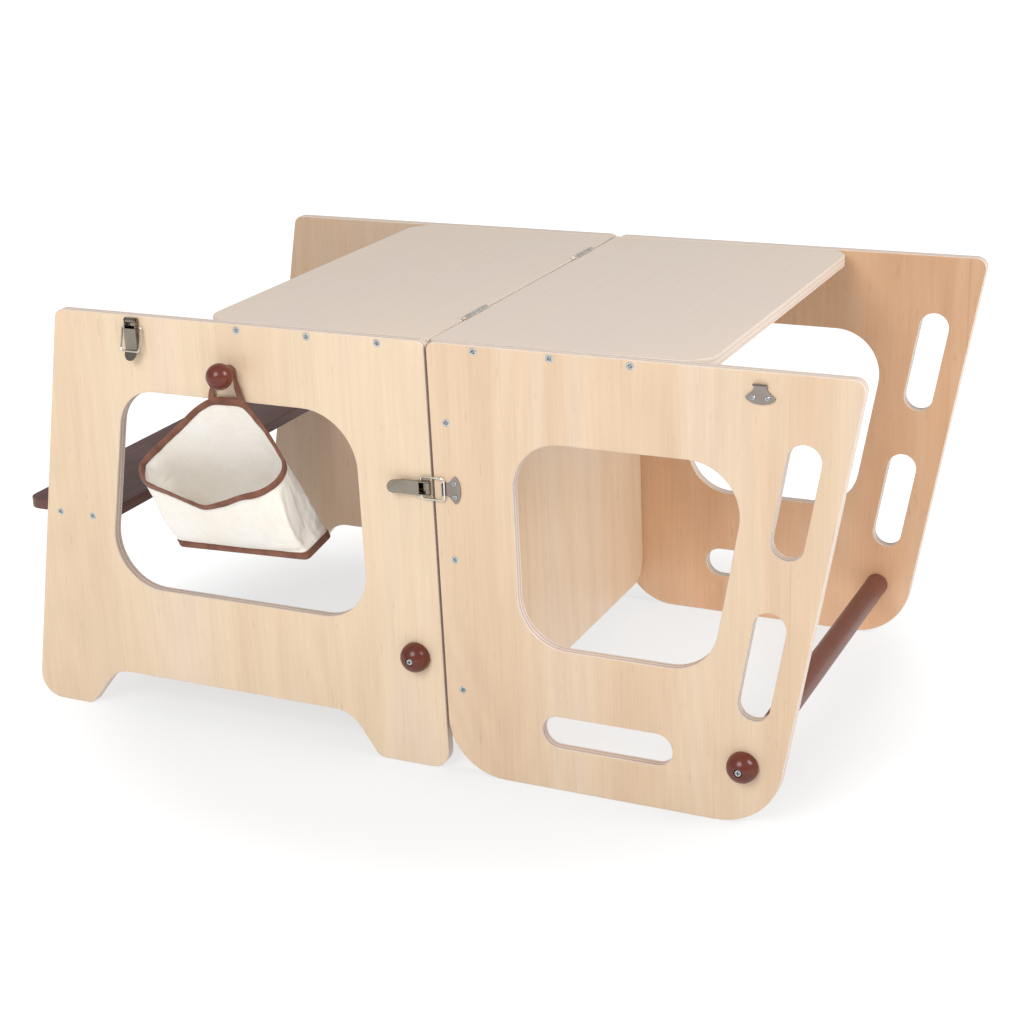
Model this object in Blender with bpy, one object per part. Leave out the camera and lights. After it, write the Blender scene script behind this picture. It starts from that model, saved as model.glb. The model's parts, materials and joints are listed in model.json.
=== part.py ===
"""Convertible learning tower, shown as a low table.

Two plywood frames are hinged together along their top edge. Side by side, as modelled, they make a
table. The upper frame swings up and over onto the lower one, and the pair is then a tower to stand in.
Metres, +Z up. X runs along the table, Y from the front to the rear, Z = 0 is the floor.
While it is built, X = 0 is the top of the joint between the frames and Y = 0 is the front face.
The whole assembly is moved at the end, so that its origin is under the middle of its bounding box.
"""

import math

import bmesh
import bpy
from mathutils import Matrix, Vector
from mathutils.geometry import tessellate_polygon

# Frames
HEIGHT = 0.450
DEPTH = 0.496
HALF_LENGTH = 0.427
PLY = 0.012
SIDE_SLOPE = 0.1825
JOINT_LEAN = 0.0133
JOINT_GAP = 0.0026
FIT = 0.0003
EDGE_BREAK = 0.0008
ARC_ERROR = 0.00012
SMOOTH_ANGLE = math.radians(32)

# Panel outlines
OUTER_CORNER = 0.011
JOINT_CORNER = 0.008
FOOT_OUTER_CORNER = 0.025
FOOT_JOINT_CORNER = 0.020
ARCH_HEIGHT = 0.0465
ARCH_OUTER_FOOT = 0.437
ARCH_OUTER_TOP = ARCH_OUTER_FOOT - 0.037
ARCH_JOINT_FOOT = 0.076
ARCH_JOINT_TOP = ARCH_JOINT_FOOT + 0.031
ARCH_TOP_CORNER = 0.035
ARCH_FOOT_CORNER = 0.012
UPPER_JOINT_BOTTOM_CORNER = 0.060
UPPER_OUTER_BOTTOM_CORNER = 0.068

# Windows and hand slots
OUTER_STILE = 0.0887
LOWER_JOINT_STILE = 0.083
LOWER_WINDOW_TOP = HEIGHT - 0.0795
LOWER_WINDOW_BOTTOM = 0.150
LOWER_WINDOW_CORNERS = (0.045, 0.060, 0.052, 0.054)
UPPER_JOINT_STILE = 0.0847
UPPER_WINDOW_TOP = HEIGHT - 0.089
UPPER_WINDOW_BOTTOM = 0.1515
UPPER_WINDOW_CORNERS = (0.050, 0.050, 0.050, 0.050)
SIDE_SLOT_LENGTH = 0.113
SIDE_SLOT_WIDTH = 0.032
SIDE_SLOT_INSET = 0.041
SIDE_SLOT_HEIGHTS = (0.3305, 0.166)
FLOOR_SLOT_LENGTH = 0.136
FLOOR_SLOT_WIDTH = 0.034
FLOOR_SLOT_X = 0.1782
FLOOR_SLOT_HEIGHT = 0.0633

# Boards between the panels
LOWER_TOP_LENGTH = 0.2565
UPPER_TOP_LENGTH = 0.2775
TOP_CORNER = 0.030
DIVIDER_X = 0.012
DIVIDER_BOTTOM = 0.032
DIVIDER_CORNER = 0.030
STEP_OUTER_X = 0.5035
STEP_WIDTH = 0.113
STEP_TOP = 0.231
STEP_CORNER = 0.013

# Rods, their knobs and the peg
ROD_RADIUS = 0.0125
ROD_BREAK = 0.001
ROD_SIDES = 28
STRETCHER_X = -0.026
STRETCHER_Z = 0.122
SAFETY_X = 0.3175
SAFETY_Z = 0.0625
KNOB_RADIUS = 0.0155
KNOB_HEIGHT = 0.0175
KNOB_RIM = 0.003
KNOB_SINK_RADIUS = 0.0042
KNOB_SINK_DEPTH = 0.0035
KNOB_SIDES = 24
SCREW_RADIUS = 0.0021
SCREW_CLEARANCE = 0.0003
SCREW_HEAD_RADIUS = 0.0037
SCREW_HEAD_HEIGHT = 0.0022
SCREW_GRIP = 0.022
SCREW_SIDES = 12
PEG_X = -0.219
PEG_Z = HEIGHT - 0.0485
PEG_NECK_RADIUS = 0.006
PEG_BALL_RADIUS = 0.0135
PEG_BALL_CENTRE = 0.020
PEG_SCREW_GRIP = 0.016

# Butt hinges in the joint between the two top boards
HINGE_YS = (0.111, 0.385)
HINGE_LENGTH = 0.050
HINGE_RADIUS = 0.003
HINGE_PIN_RADIUS = 0.001
HINGE_LEAF = 0.0011
HINGE_LEAF_HEIGHT = 0.0115
HINGE_LEAF_GAP = 0.0005
HINGE_KNUCKLES = 5
HINGE_SIDES = 20
HINGE_END = 0.0005
PIN_CLEARANCE = 0.00008

# Toggle latches: a runs towards the keeper, b across, u out from the panel
SHEET = 0.001
LATCH_PIVOT_U = 0.0031
LATCH_ROLL_RADIUS = 0.0028
LATCH_ROLL_SIDES = 14
LATCH_BASE_LENGTH = 0.030
LATCH_BASE_HALF_WIDTH = 0.0055
LATCH_BASE_CURL_END = math.radians(215)
LATCH_PIN_RADIUS = 0.001
LATCH_PIN_HEAD_RADIUS = 0.0018
LATCH_PIN_HEAD = 0.0008
LEVER_HALF_WIDTH = 0.007
LEVER_FLANGE = 0.0009
LEVER_FLANGE_INSET = 0.0001
LEVER_TOP_U = 0.007
LEVER_START = 0.008
LEVER_BEND = 0.0287
LEVER_LENGTH = 0.0403
LEVER_TAB_ANGLE = math.radians(25)
LEVER_TAB_ROUND = math.radians(84)
LEVER_TAB_STEPS = 8
LEVER_NOSE_A = 0.0027
LEVER_NOSE_U = 0.0057
LEVER_SHOULDER_A = -0.0062
LEVER_LOW_U = 0.0004
LEVER_LOW_END_A = -0.0094
LEVER_SKIRT_A = -0.0120
LEVER_SKIRT_U = 0.0036
LEVER_SKIRT_END_U = 0.0044
LEVER_SKIRT_END = 0.0025
LEVER_SKIRT_TOP_END = 0.001
LEVER_NOSE_CORNER = 0.0023
LEVER_SKIRT_CORNER = 0.0010
LEVER_EYE_CORNER = 0.0020
BAIL_PIN_A = -0.007
BAIL_PIN_U = 0.0029
BAIL_WIRE_RADIUS = 0.001
BAIL_HALF_WIDTH = 0.0111
BAIL_LENGTH = 0.0247
BAIL_CORNER = 0.0035
BAIL_STORED_ANGLE = math.radians(164.5)
KEEPER_TIP_A = 0.015
KEEPER_CURL_RADIUS = 0.0029
KEEPER_CURL_START = math.radians(137)
KEEPER_CURL_END = math.radians(270)
KEEPER_CURL_STEPS = 9
KEEPER_ROWS = 14
KEEPER_FLARE = 1.3
KEEPER_FAR_HALF_WIDTH = 0.0004
KEEPER_NECK_HALF_WIDTH = 0.0063
KEEPER_NECK_LENGTH = 0.0055
KEEPER_PLATE_HALF_WIDTH = 0.0137
KEEPER_WIDEST = 0.0125
KEEPER_LENGTH = 0.0194
SIDE_LATCH_X = -0.0023
SIDE_LATCH_Z = HEIGHT - 0.1455
TOP_LATCH_X = -0.331
TOP_LATCH_Z = HEIGHT - 0.004

# Cloth bag on the peg
CLOTH = 0.0015
BAG_BASE_LENGTH = 0.147
BAG_BASE_DEPTH = 0.052
BAG_BASE_CORNER = 0.008
BAG_BASE_CENTRE = (0.0115, 0.006, -0.181)
BAG_BASE_TILT = math.radians(9)
BAG_BASE_ROLL = math.radians(2)
BAG_FRONT_RIM = (
    (-0.1155, -0.008, -0.1097), (-0.056, -0.048, -0.1178), (-0.006, -0.060, -0.1237),
    (0.037, -0.057, -0.1081), (0.066, -0.034, -0.0978), (0.0631, -0.014, -0.0848),
)
BAG_REAR_RIM = (
    (0.0631, -0.014, -0.0848), (0.0389, -0.006, -0.0554), (0.0109, -0.0032, -0.0290),
    (-0.0248, -0.0032, -0.0311), (-0.0655, -0.005, -0.0621), (-0.1155, -0.008, -0.1097),
)
BAG_RIM_STEPS = 15
BAG_CURVE_STEPS = 20
BAG_ROWS = 5
BAG_BULGE = 0.006
LOOP_THICKNESS = 0.002
LOOP_WIDTH = 0.005
LOOP_Y = -0.0040
LOOP_SEAT = 0.0008
LOOP_WRAP = math.radians(20)
LOOP_STEPS = 12

HINGE_AXIS_Z = HEIGHT + FIT
CLEAR = PLY + FIT
INNER_DEPTH = DEPTH - 2 * CLEAR
X_AXIS = Vector((1, 0, 0))
Y_AXIS = Vector((0, 1, 0))
Z_AXIS = Vector((0, 0, 1))


# Scene and materials

def clear_scene():
    for old in list(bpy.data.objects):
        bpy.data.objects.remove(old, do_unlink=True)


def finish(name, colour, roughness, metallic=0.0):
    material = bpy.data.materials.new(name)
    material.use_nodes = True
    shader = material.node_tree.nodes["Principled BSDF"]
    shader.inputs["Base Color"].default_value = (*colour, 1.0)
    shader.inputs["Roughness"].default_value = roughness
    shader.inputs["Metallic"].default_value = metallic
    return material


clear_scene()
BIRCH = finish("birch_plywood", (0.80, 0.63, 0.43), 0.55)
TABLE = finish("table_board", (0.72, 0.61, 0.49), 0.45)
BROWN = finish("brown_painted_wood", (0.115, 0.032, 0.022), 0.35)
STEEL = finish("nickel_steel", (0.55, 0.52, 0.47), 0.25, 1.0)
CANVAS = finish("canvas", (0.82, 0.76, 0.64), 0.9)
TAPE = finish("brown_tape", (0.24, 0.10, 0.055), 0.85)


def group(name, parent=None, matrix=None):
    """An empty that carries one assembly; a moving one sits on its joint's axis."""
    empty = bpy.data.objects.new(name, None)
    bpy.context.collection.objects.link(empty)
    empty.parent = parent
    empty.matrix_local = matrix or Matrix.Identity(4)
    return empty


def add(name, mesh_data, material, parent):
    """Link a mesh or curve as the named piece of an assembly."""
    piece = bpy.data.objects.new(name, mesh_data)
    mesh_data.materials.append(material)
    bpy.context.collection.objects.link(piece)
    piece.parent = parent
    return piece


def axes(p, q, w, origin=(0.0, 0.0, 0.0)):
    """A matrix whose three columns are the directions of a shape's own coordinates."""
    matrix = Matrix.Identity(4)
    for column, vector in enumerate((p, q, w, origin)):
        for row in range(3):
            matrix[row][column] = vector[row]
    return matrix


def closed_mesh(name, points, faces, place=None):
    """A mesh with its faces pointing out and its round sides shaded smooth."""
    mesh = bpy.data.meshes.new(name)
    mesh.from_pydata([tuple(point) for point in points], [], faces)
    if place:
        mesh.transform(place)
    work = bmesh.new()
    work.from_mesh(mesh)
    bmesh.ops.recalc_face_normals(work, faces=work.faces)
    work.to_mesh(mesh)
    work.free()
    mesh.shade_smooth()
    mesh.set_sharp_from_angle(angle=SMOOTH_ANGLE)
    return mesh


# Flat shapes

def arc_steps(radius, sweep):
    """How many straight steps keep an arc within the allowed error."""
    return max(2, math.ceil(abs(sweep) / (2 * math.acos(1 - ARC_ERROR / radius))))


def rounded(corners):
    """A closed outline through corners (x, y, radius), each rounded with an arc."""
    outline = []
    for index, (x, y, radius) in enumerate(corners):
        corner = Vector((x, y))
        before = Vector(corners[index - 1][:2]) - corner
        after = Vector(corners[(index + 1) % len(corners)][:2]) - corner
        if radius == 0:
            outline.append(corner)
            continue
        before.normalize()
        after.normalize()
        half_angle = before.angle(after) / 2
        tangent = radius / math.tan(half_angle)
        centre = corner + (before + after).normalized() * radius / math.sin(half_angle)
        start = corner + before * tangent - centre
        sweep = start.angle_signed(corner + after * tangent - centre)
        steps = arc_steps(radius, sweep)
        for step in range(steps + 1):
            turn = Matrix.Rotation(-sweep * step / steps, 2)
            outline.append(centre + turn @ start)
    return outline


def slot(centre_x, centre_y, length, width, angle):
    """A slot with round ends, its long axis turned by an angle from the x direction."""
    radius = width / 2
    straight = length / 2 - radius
    steps = arc_steps(radius, math.pi)
    outline = []
    for end in (1, -1):
        for step in range(steps + 1):
            along = -math.pi / 2 + math.pi * step / steps
            point = Vector((straight + radius * math.cos(along), radius * math.sin(along))) * end
            turn = Matrix.Rotation(angle, 2)
            outline.append(Vector((centre_x, centre_y)) + turn @ point)
    return outline


def circle(centre_x, centre_y, radius, sides=SCREW_SIDES):
    return [
        Vector((
            centre_x + radius * math.cos(math.tau * (side + 0.5) / sides),
            centre_y + radius * math.sin(math.tau * (side + 0.5) / sides),
        ))
        for side in range(sides)
    ]


def turned_way(outline, counter_clockwise):
    area = sum(a.x * b.y - b.x * a.y for a, b in zip(outline, outline[1:] + outline[:1]))
    if (area > 0) == counter_clockwise:
        return outline
    return outline[::-1]


def inset(outline, distance):
    """Move each point of an outline to the left of its direction of travel."""
    moved = []
    for index, point in enumerate(outline):
        before = (point - outline[index - 1]).normalized()
        after = (outline[(index + 1) % len(outline)] - point).normalized()
        left_before = Vector((-before.y, before.x))
        left_after = Vector((-after.y, after.x))
        middle = (left_before + left_after).normalized()
        moved.append(point + middle * distance / middle.dot(left_before))
    return moved


def plate(name, outline, holes, thickness, place, edge=0.0):
    """A sheet cut to an outline with holes; its edges are broken by a small chamfer."""
    loops = [turned_way(outline, True)]
    loops += [turned_way(hole, False) for hole in holes]
    narrow = [inset(loop, edge) for loop in loops] if edge else loops
    levels = [(0.0, narrow), (edge, loops), (thickness - edge, loops), (thickness, narrow)]
    if not edge:
        levels = [(0.0, loops), (thickness, loops)]
    count = sum(len(loop) for loop in loops)
    points = [(point.x, point.y, w) for w, level in levels for loop in level for point in loop]
    faces = []
    start = 0
    for loop in loops:
        size = len(loop)
        for level in range(len(levels) - 1):
            low = start + level * count
            for index in range(size):
                following = (index + 1) % size
                faces.append((low + index, low + following, low + count + following, low + count + index))
        start += size
    cap = [tuple(range(count))]
    if holes:
        cap = tessellate_polygon([[Vector((point.x, point.y, 0)) for point in loop] for loop in narrow])
    top = (len(levels) - 1) * count
    faces += [tuple(triangle) for triangle in cap]
    faces += [tuple(top + corner for corner in reversed(triangle)) for triangle in cap]
    return closed_mesh(name, points, faces, place)


def turned(name, profile, sides, place, closed=False):
    """A body turned about its own Z: profile points are (radius, height), with poles at radius 0."""
    points = []
    rings = []
    for radius, height in profile:
        if radius == 0:
            rings.append([len(points)] * sides)
            points.append((0.0, 0.0, height))
            continue
        rings.append([len(points) + side for side in range(sides)])
        for side in range(sides):
            angle = math.tau * side / sides
            points.append((radius * math.cos(angle), radius * math.sin(angle), height))
    pairs = list(zip(rings, rings[1:]))
    if closed:
        pairs.append((rings[-1], rings[0]))
    faces = []
    for low, high in pairs:
        for side in range(sides):
            following = (side + 1) % sides
            corners = (low[side], low[following], high[following], high[side])
            faces.append(tuple(dict.fromkeys(corners)))
    return closed_mesh(name, points, faces, place)


def strip(name, stations, thickness, place):
    """Bent sheet metal: stations are (a, u, direction, half width) along its middle surface."""
    points = []
    for a, u, direction, half_width in stations:
        across = Vector((-math.sin(direction), math.cos(direction))) * thickness / 2
        for side, face in ((-1, -1), (1, -1), (1, 1), (-1, 1)):
            points.append((a + across.x * face, side * half_width, u + across.y * face))
    faces = [(0, 1, 2, 3), tuple(len(points) - 4 + corner for corner in (3, 2, 1, 0))]
    for station in range(len(stations) - 1):
        low = 4 * station
        for corner in range(4):
            following = (corner + 1) % 4
            faces.append((low + corner, low + following, low + 4 + following, low + 4 + corner))
    return closed_mesh(name, points, faces, place)


def combine(target, other, operation):
    """Cut or join a hidden helper solid into a piece."""
    other.hide_render = True
    other.display_type = "WIRE"
    modifier = target.modifiers.new(other.name, "BOOLEAN")
    modifier.operation = operation
    modifier.solver = "EXACT"
    modifier.object = other


# Lines that both frames share

def joint_x(z):
    """The joint between the frames leans a little to the right towards the floor."""
    return JOINT_LEAN * (HEIGHT - z)


def outer_x(z):
    """Distance of the left outer edge from the joint's top."""
    return HALF_LENGTH + SIDE_SLOPE * (HEIGHT - z)


def upper_outer_x(z):
    return HALF_LENGTH - SIDE_SLOPE * (HEIGHT - z)


def panel_place(y):
    return axes(X_AXIS, Z_AXIS, Y_AXIS, (0, y, 0))


FRONT_Y = 0.0
REAR_Y = DEPTH - PLY

root = group("lower_frame")
upper = group("upper_frame", root, Matrix.Translation((0, 0, HINGE_AXIS_Z)))
TO_UPPER = Matrix.Translation((0, 0, -HINGE_AXIS_Z))


# Lower frame: two panels with feet, a table board, a step and a stretcher

def lower_panel_outline():
    return rounded([
        (-outer_x(HEIGHT), HEIGHT, OUTER_CORNER),
        (joint_x(HEIGHT) - JOINT_GAP / 2, HEIGHT, JOINT_CORNER),
        (joint_x(0) - JOINT_GAP / 2, 0, FOOT_JOINT_CORNER),
        (-ARCH_JOINT_FOOT, 0, ARCH_FOOT_CORNER),
        (-ARCH_JOINT_TOP, ARCH_HEIGHT, ARCH_TOP_CORNER),
        (-ARCH_OUTER_TOP, ARCH_HEIGHT, ARCH_TOP_CORNER),
        (-ARCH_OUTER_FOOT, 0, ARCH_FOOT_CORNER),
        (-outer_x(0), 0, FOOT_OUTER_CORNER),
    ])


def lower_window():
    outer_top, joint_top, joint_bottom, outer_bottom = LOWER_WINDOW_CORNERS
    top, bottom = LOWER_WINDOW_TOP, LOWER_WINDOW_BOTTOM
    return rounded([
        (OUTER_STILE - outer_x(top), top, outer_top),
        (joint_x(top) - LOWER_JOINT_STILE, top, joint_top),
        (joint_x(bottom) - LOWER_JOINT_STILE, bottom, joint_bottom),
        (OUTER_STILE - outer_x(bottom), bottom, outer_bottom),
    ])


def screw_hole(x, z):
    return circle(x, z, SCREW_RADIUS + SCREW_CLEARANCE)


def panel(name, outline, holes, y, parent, to_parent):
    mesh = plate(name, outline, holes, PLY, to_parent @ panel_place(y), EDGE_BREAK)
    return add(name, mesh, BIRCH, parent)


stretcher_hole = screw_hole(STRETCHER_X, STRETCHER_Z)
peg_hole = screw_hole(PEG_X, PEG_Z)
NO_MOVE = Matrix.Identity(4)
panel("lower_front_panel", lower_panel_outline(), [lower_window(), stretcher_hole, peg_hole],
      FRONT_Y, root, NO_MOVE)
panel("lower_rear_panel", lower_panel_outline(), [lower_window(), stretcher_hole],
      REAR_Y, root, NO_MOVE)


def board(name, outline, top, material, parent, to_parent):
    """A horizontal board between the panels, given its plan outline and its top face."""
    place = to_parent @ axes(X_AXIS, Y_AXIS, Z_AXIS, (0, 0, top - PLY))
    return add(name, plate(name, outline, [], PLY, place, EDGE_BREAK), material, parent)


def top_outline(joint_edge, outer_edge):
    """A table board: square at the joint, round at its outer corners."""
    return rounded([
        (joint_edge, CLEAR, 0),
        (outer_edge, CLEAR, TOP_CORNER),
        (outer_edge, DEPTH - CLEAR, TOP_CORNER),
        (joint_edge, DEPTH - CLEAR, 0),
    ])


def hinge_mortise(name, hinge_y, parent, to_parent):
    """The notch for one hinge: a wide top for the knuckles over two thin pockets for the leaves."""
    knuckle = HINGE_RADIUS + FIT
    leaf = HINGE_LEAF_GAP / 2 + HINGE_LEAF + FIT
    outline = [Vector(point) for point in (
        (-knuckle, -knuckle), (-leaf, -knuckle), (-leaf, -2 * PLY), (leaf, -2 * PLY),
        (leaf, -knuckle), (knuckle, -knuckle), (knuckle, PLY), (-knuckle, PLY),
    )]
    length = HINGE_LENGTH + 2 * (HINGE_END + FIT)
    place = to_parent @ axes(X_AXIS, Z_AXIS, Y_AXIS, (0, hinge_y - length / 2, HINGE_AXIS_Z))
    return add(name, plate(name, outline, [], length, place), TABLE, parent)


def top_board(name, joint_edge, outer_edge, parent, to_parent):
    piece = board(name, top_outline(joint_edge, outer_edge), HEIGHT, TABLE, parent, to_parent)
    for index, hinge_y in enumerate(HINGE_YS):
        mortise = hinge_mortise(f"{name}_mortise_{index}", hinge_y, parent, to_parent)
        combine(piece, mortise, "DIFFERENCE")


top_board("lower_top_board", -JOINT_GAP / 2, -LOWER_TOP_LENGTH, root, NO_MOVE)
board("step_board", rounded([
    (-STEP_OUTER_X, CLEAR, STEP_CORNER),
    (STEP_WIDTH - STEP_OUTER_X, CLEAR, STEP_CORNER),
    (STEP_WIDTH - STEP_OUTER_X, DEPTH - CLEAR, STEP_CORNER),
    (-STEP_OUTER_X, DEPTH - CLEAR, STEP_CORNER),
]), STEP_TOP, BROWN, root, NO_MOVE)


# Upper frame: two panels with a window and slots, a table board, a divider and a safety rod

def upper_panel_outline():
    return rounded([
        (joint_x(HEIGHT) + JOINT_GAP / 2, HEIGHT, JOINT_CORNER),
        (upper_outer_x(HEIGHT), HEIGHT, OUTER_CORNER),
        (upper_outer_x(0), 0, UPPER_OUTER_BOTTOM_CORNER),
        (joint_x(0) + JOINT_GAP / 2, 0, UPPER_JOINT_BOTTOM_CORNER),
    ])


def upper_openings():
    joint_top, outer_top, outer_bottom, joint_bottom = UPPER_WINDOW_CORNERS
    top, bottom = UPPER_WINDOW_TOP, UPPER_WINDOW_BOTTOM
    window = rounded([
        (joint_x(top) + UPPER_JOINT_STILE, top, joint_top),
        (upper_outer_x(top) - OUTER_STILE, top, outer_top),
        (upper_outer_x(bottom) - OUTER_STILE, bottom, outer_bottom),
        (joint_x(bottom) + UPPER_JOINT_STILE, bottom, joint_bottom),
    ])
    lean = math.pi / 2 - math.atan(SIDE_SLOPE)
    side_slots = [
        slot(upper_outer_x(z) - SIDE_SLOT_INSET, z, SIDE_SLOT_LENGTH, SIDE_SLOT_WIDTH, lean)
        for z in SIDE_SLOT_HEIGHTS
    ]
    floor_slot = slot(FLOOR_SLOT_X, FLOOR_SLOT_HEIGHT, FLOOR_SLOT_LENGTH, FLOOR_SLOT_WIDTH, 0)
    return [window, *side_slots, floor_slot, screw_hole(SAFETY_X, SAFETY_Z)]


panel("upper_front_panel", upper_panel_outline(), upper_openings(), FRONT_Y, upper, TO_UPPER)
panel("upper_rear_panel", upper_panel_outline(), upper_openings(), REAR_Y, upper, TO_UPPER)
top_board("upper_top_board", JOINT_GAP / 2, UPPER_TOP_LENGTH, upper, TO_UPPER)


def divider():
    """An upright board under the table, parallel to the leaning joint."""
    top = HEIGHT - PLY - FIT
    outline = rounded([
        (CLEAR, top, 0),
        (DEPTH - CLEAR, top, 0),
        (DEPTH - CLEAR, DIVIDER_BOTTOM, DIVIDER_CORNER),
        (CLEAR, DIVIDER_BOTTOM, DIVIDER_CORNER),
    ])
    leaning_up = Vector((-JOINT_LEAN, 0, 1))
    place = axes(Y_AXIS, leaning_up, X_AXIS, (DIVIDER_X + joint_x(0), 0, 0))
    mesh = plate("divider_panel", outline, [], PLY, TO_UPPER @ place, EDGE_BREAK)
    return add("divider_panel", mesh, BIRCH, upper)


divider()


# Rods between the panels, with a knob and a screw on each end

def outward(x, y, z, sign):
    """A turned piece's own Z along Y: sign -1 points out of the front, 1 out of the rear."""
    return Matrix.Translation((x, y, z)) @ Matrix.Rotation(-sign * math.pi / 2, 4, "X")


def rod(name, x, z, parent, to_parent):
    pilot = SCREW_RADIUS + SCREW_CLEARANCE
    depth = SCREW_GRIP + FIT
    profile = [
        (0, depth), (pilot, depth), (pilot, 0), (ROD_RADIUS - ROD_BREAK, 0), (ROD_RADIUS, ROD_BREAK),
        (ROD_RADIUS, INNER_DEPTH - ROD_BREAK), (ROD_RADIUS - ROD_BREAK, INNER_DEPTH),
        (pilot, INNER_DEPTH), (pilot, INNER_DEPTH - depth), (0, INNER_DEPTH - depth),
    ]
    mesh = turned(name, profile, ROD_SIDES, to_parent @ outward(x, CLEAR, z, 1))
    return add(name, mesh, BROWN, parent)


def knob(name, x, z, sign, parent, to_parent):
    """A dome knob over the rod's end, and the screw that holds knob, panel and rod together."""
    face = -FIT if sign < 0 else DEPTH + FIT
    place = to_parent @ outward(x, face, z, sign)
    bore = SCREW_RADIUS + SCREW_CLEARANCE
    dome = KNOB_HEIGHT - KNOB_RIM
    start = math.asin(KNOB_SINK_RADIUS / KNOB_RADIUS)
    profile = [(bore, 0), (KNOB_RADIUS - ROD_BREAK, 0), (KNOB_RADIUS, ROD_BREAK)]
    steps = arc_steps(KNOB_RADIUS, math.pi / 2 - start)
    for step in range(steps + 1):
        angle = math.pi / 2 - (math.pi / 2 - start) * step / steps
        profile.append((KNOB_RADIUS * math.sin(angle), KNOB_RIM + dome * math.cos(angle)))
    seat = KNOB_HEIGHT - KNOB_SINK_DEPTH
    profile += [(KNOB_SINK_RADIUS, seat), (bore, seat)]
    add(name, turned(name, profile, KNOB_SIDES, place, closed=True), BROWN, parent)
    head = seat + FIT
    tip = -FIT - PLY - FIT - SCREW_GRIP
    screw = [
        (0, tip), (SCREW_RADIUS, tip), (SCREW_RADIUS, head), (SCREW_HEAD_RADIUS, head),
        (SCREW_HEAD_RADIUS, head + SCREW_HEAD_HEIGHT / 2), (SCREW_HEAD_RADIUS / 2, head + SCREW_HEAD_HEIGHT),
        (0, head + SCREW_HEAD_HEIGHT),
    ]
    add(f"{name}_screw", turned(f"{name}_screw", screw, SCREW_SIDES, place), STEEL, parent)


def rod_with_knobs(rod_name, knob_name, x, z, parent, to_parent):
    rod(rod_name, x, z, parent, to_parent)
    for side, sign in (("front", -1), ("rear", 1)):
        knob(f"{knob_name}_{side}_knob", x, z, sign, parent, to_parent)


rod_with_knobs("lower_stretcher_rod", "stretcher", STRETCHER_X, STRETCHER_Z, root, NO_MOVE)
rod_with_knobs("safety_rod", "safety_rod", SAFETY_X, SAFETY_Z, upper, TO_UPPER)


def bag_peg():
    """A ball on a short neck, held by a screw from inside the panel."""
    place = outward(PEG_X, -FIT, PEG_Z, -1)
    bore = SCREW_RADIUS + SCREW_CLEARANCE
    profile = [(0, PEG_SCREW_GRIP + FIT), (bore, PEG_SCREW_GRIP + FIT), (bore, 0), (PEG_NECK_RADIUS, 0)]
    meet = math.pi - math.asin(PEG_NECK_RADIUS / PEG_BALL_RADIUS)
    steps = arc_steps(PEG_BALL_RADIUS, meet)
    for step in range(steps + 1):
        angle = meet * (1 - step / steps)
        radius = 0 if step == steps else PEG_BALL_RADIUS * math.sin(angle)
        profile.append((radius, PEG_BALL_CENTRE + PEG_BALL_RADIUS * math.cos(angle)))
    add("bag_peg", turned("bag_peg", profile, KNOB_SIDES, place), BROWN, root)
    seat = -FIT - PLY - FIT
    screw = [
        (0, seat - SCREW_HEAD_HEIGHT), (SCREW_HEAD_RADIUS, seat - SCREW_HEAD_HEIGHT / 2),
        (SCREW_HEAD_RADIUS, seat), (SCREW_RADIUS, seat), (SCREW_RADIUS, PEG_SCREW_GRIP), (0, PEG_SCREW_GRIP),
    ]
    add("bag_peg_screw", turned("bag_peg_screw", screw, SCREW_SIDES, place), STEEL, root)


bag_peg()


# Butt hinges: the leaves stand in the joint, the knuckles alternate about the pin

def hinge_leaf(name, side, hinge_y, parent, to_parent):
    """Side -1 is the lower frame's leaf with three knuckles, side 1 the upper frame's with two."""
    bore = HINGE_PIN_RADIUS + PIN_CLEARANCE
    near = HINGE_LEAF_GAP / 2
    far = near + HINGE_LEAF
    start = math.asin(near / HINGE_RADIUS) - math.pi / 2
    end = math.asin(far / HINGE_RADIUS) - math.pi / 2
    sweep = math.tau - (end - start)
    steps = HINGE_SIDES
    outline = []
    for step in range(steps + 1):
        angle = end + sweep * step / steps
        outline.append(Vector((side * HINGE_RADIUS * math.cos(angle), HINGE_RADIUS * math.sin(angle))))
    outline.append(Vector((side * near, -HINGE_LEAF_HEIGHT)))
    outline.append(Vector((side * far, -HINGE_LEAF_HEIGHT)))
    place = to_parent @ axes(X_AXIS, Z_AXIS, Y_AXIS, (0, hinge_y - HINGE_LENGTH / 2, HINGE_AXIS_Z))
    leaf = add(name, plate(name, outline, [circle(0, 0, bore)], HINGE_LENGTH, place), STEEL, parent)
    knuckle = HINGE_LENGTH / HINGE_KNUCKLES
    reach = HINGE_RADIUS + FIT
    other = 1 if side < 0 else 0
    for index in range(other, HINGE_KNUCKLES, 2):
        low = index * knuckle - FIT / 2
        high = (index + 1) * knuckle + FIT / 2
        if index == 0:
            low -= knuckle
        if index == HINGE_KNUCKLES - 1:
            high += knuckle
        square = [Vector(point) for point in ((-reach, -reach), (reach, -reach), (reach, reach), (-reach, reach))]
        cutter_name = f"{name}_gap_{index}"
        cutter_place = place @ Matrix.Translation((0, 0, low))
        cutter = add(cutter_name, plate(cutter_name, square, [], high - low, cutter_place), STEEL, parent)
        combine(leaf, cutter, "DIFFERENCE")


def butt_hinge(name, hinge_y):
    hinge_leaf(f"{name}_lower_leaf", -1, hinge_y, root, NO_MOVE)
    hinge_leaf(f"{name}_upper_leaf", 1, hinge_y, upper, TO_UPPER)
    half = HINGE_LENGTH / 2 + HINGE_END
    radius = HINGE_PIN_RADIUS
    profile = [(0, -half), (radius, -half), (radius, half), (0, half)]
    place = outward(0, hinge_y, HINGE_AXIS_Z, 1)
    add(f"{name}_pin", turned(f"{name}_pin", profile, SCREW_SIDES, place), STEEL, root)


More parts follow.
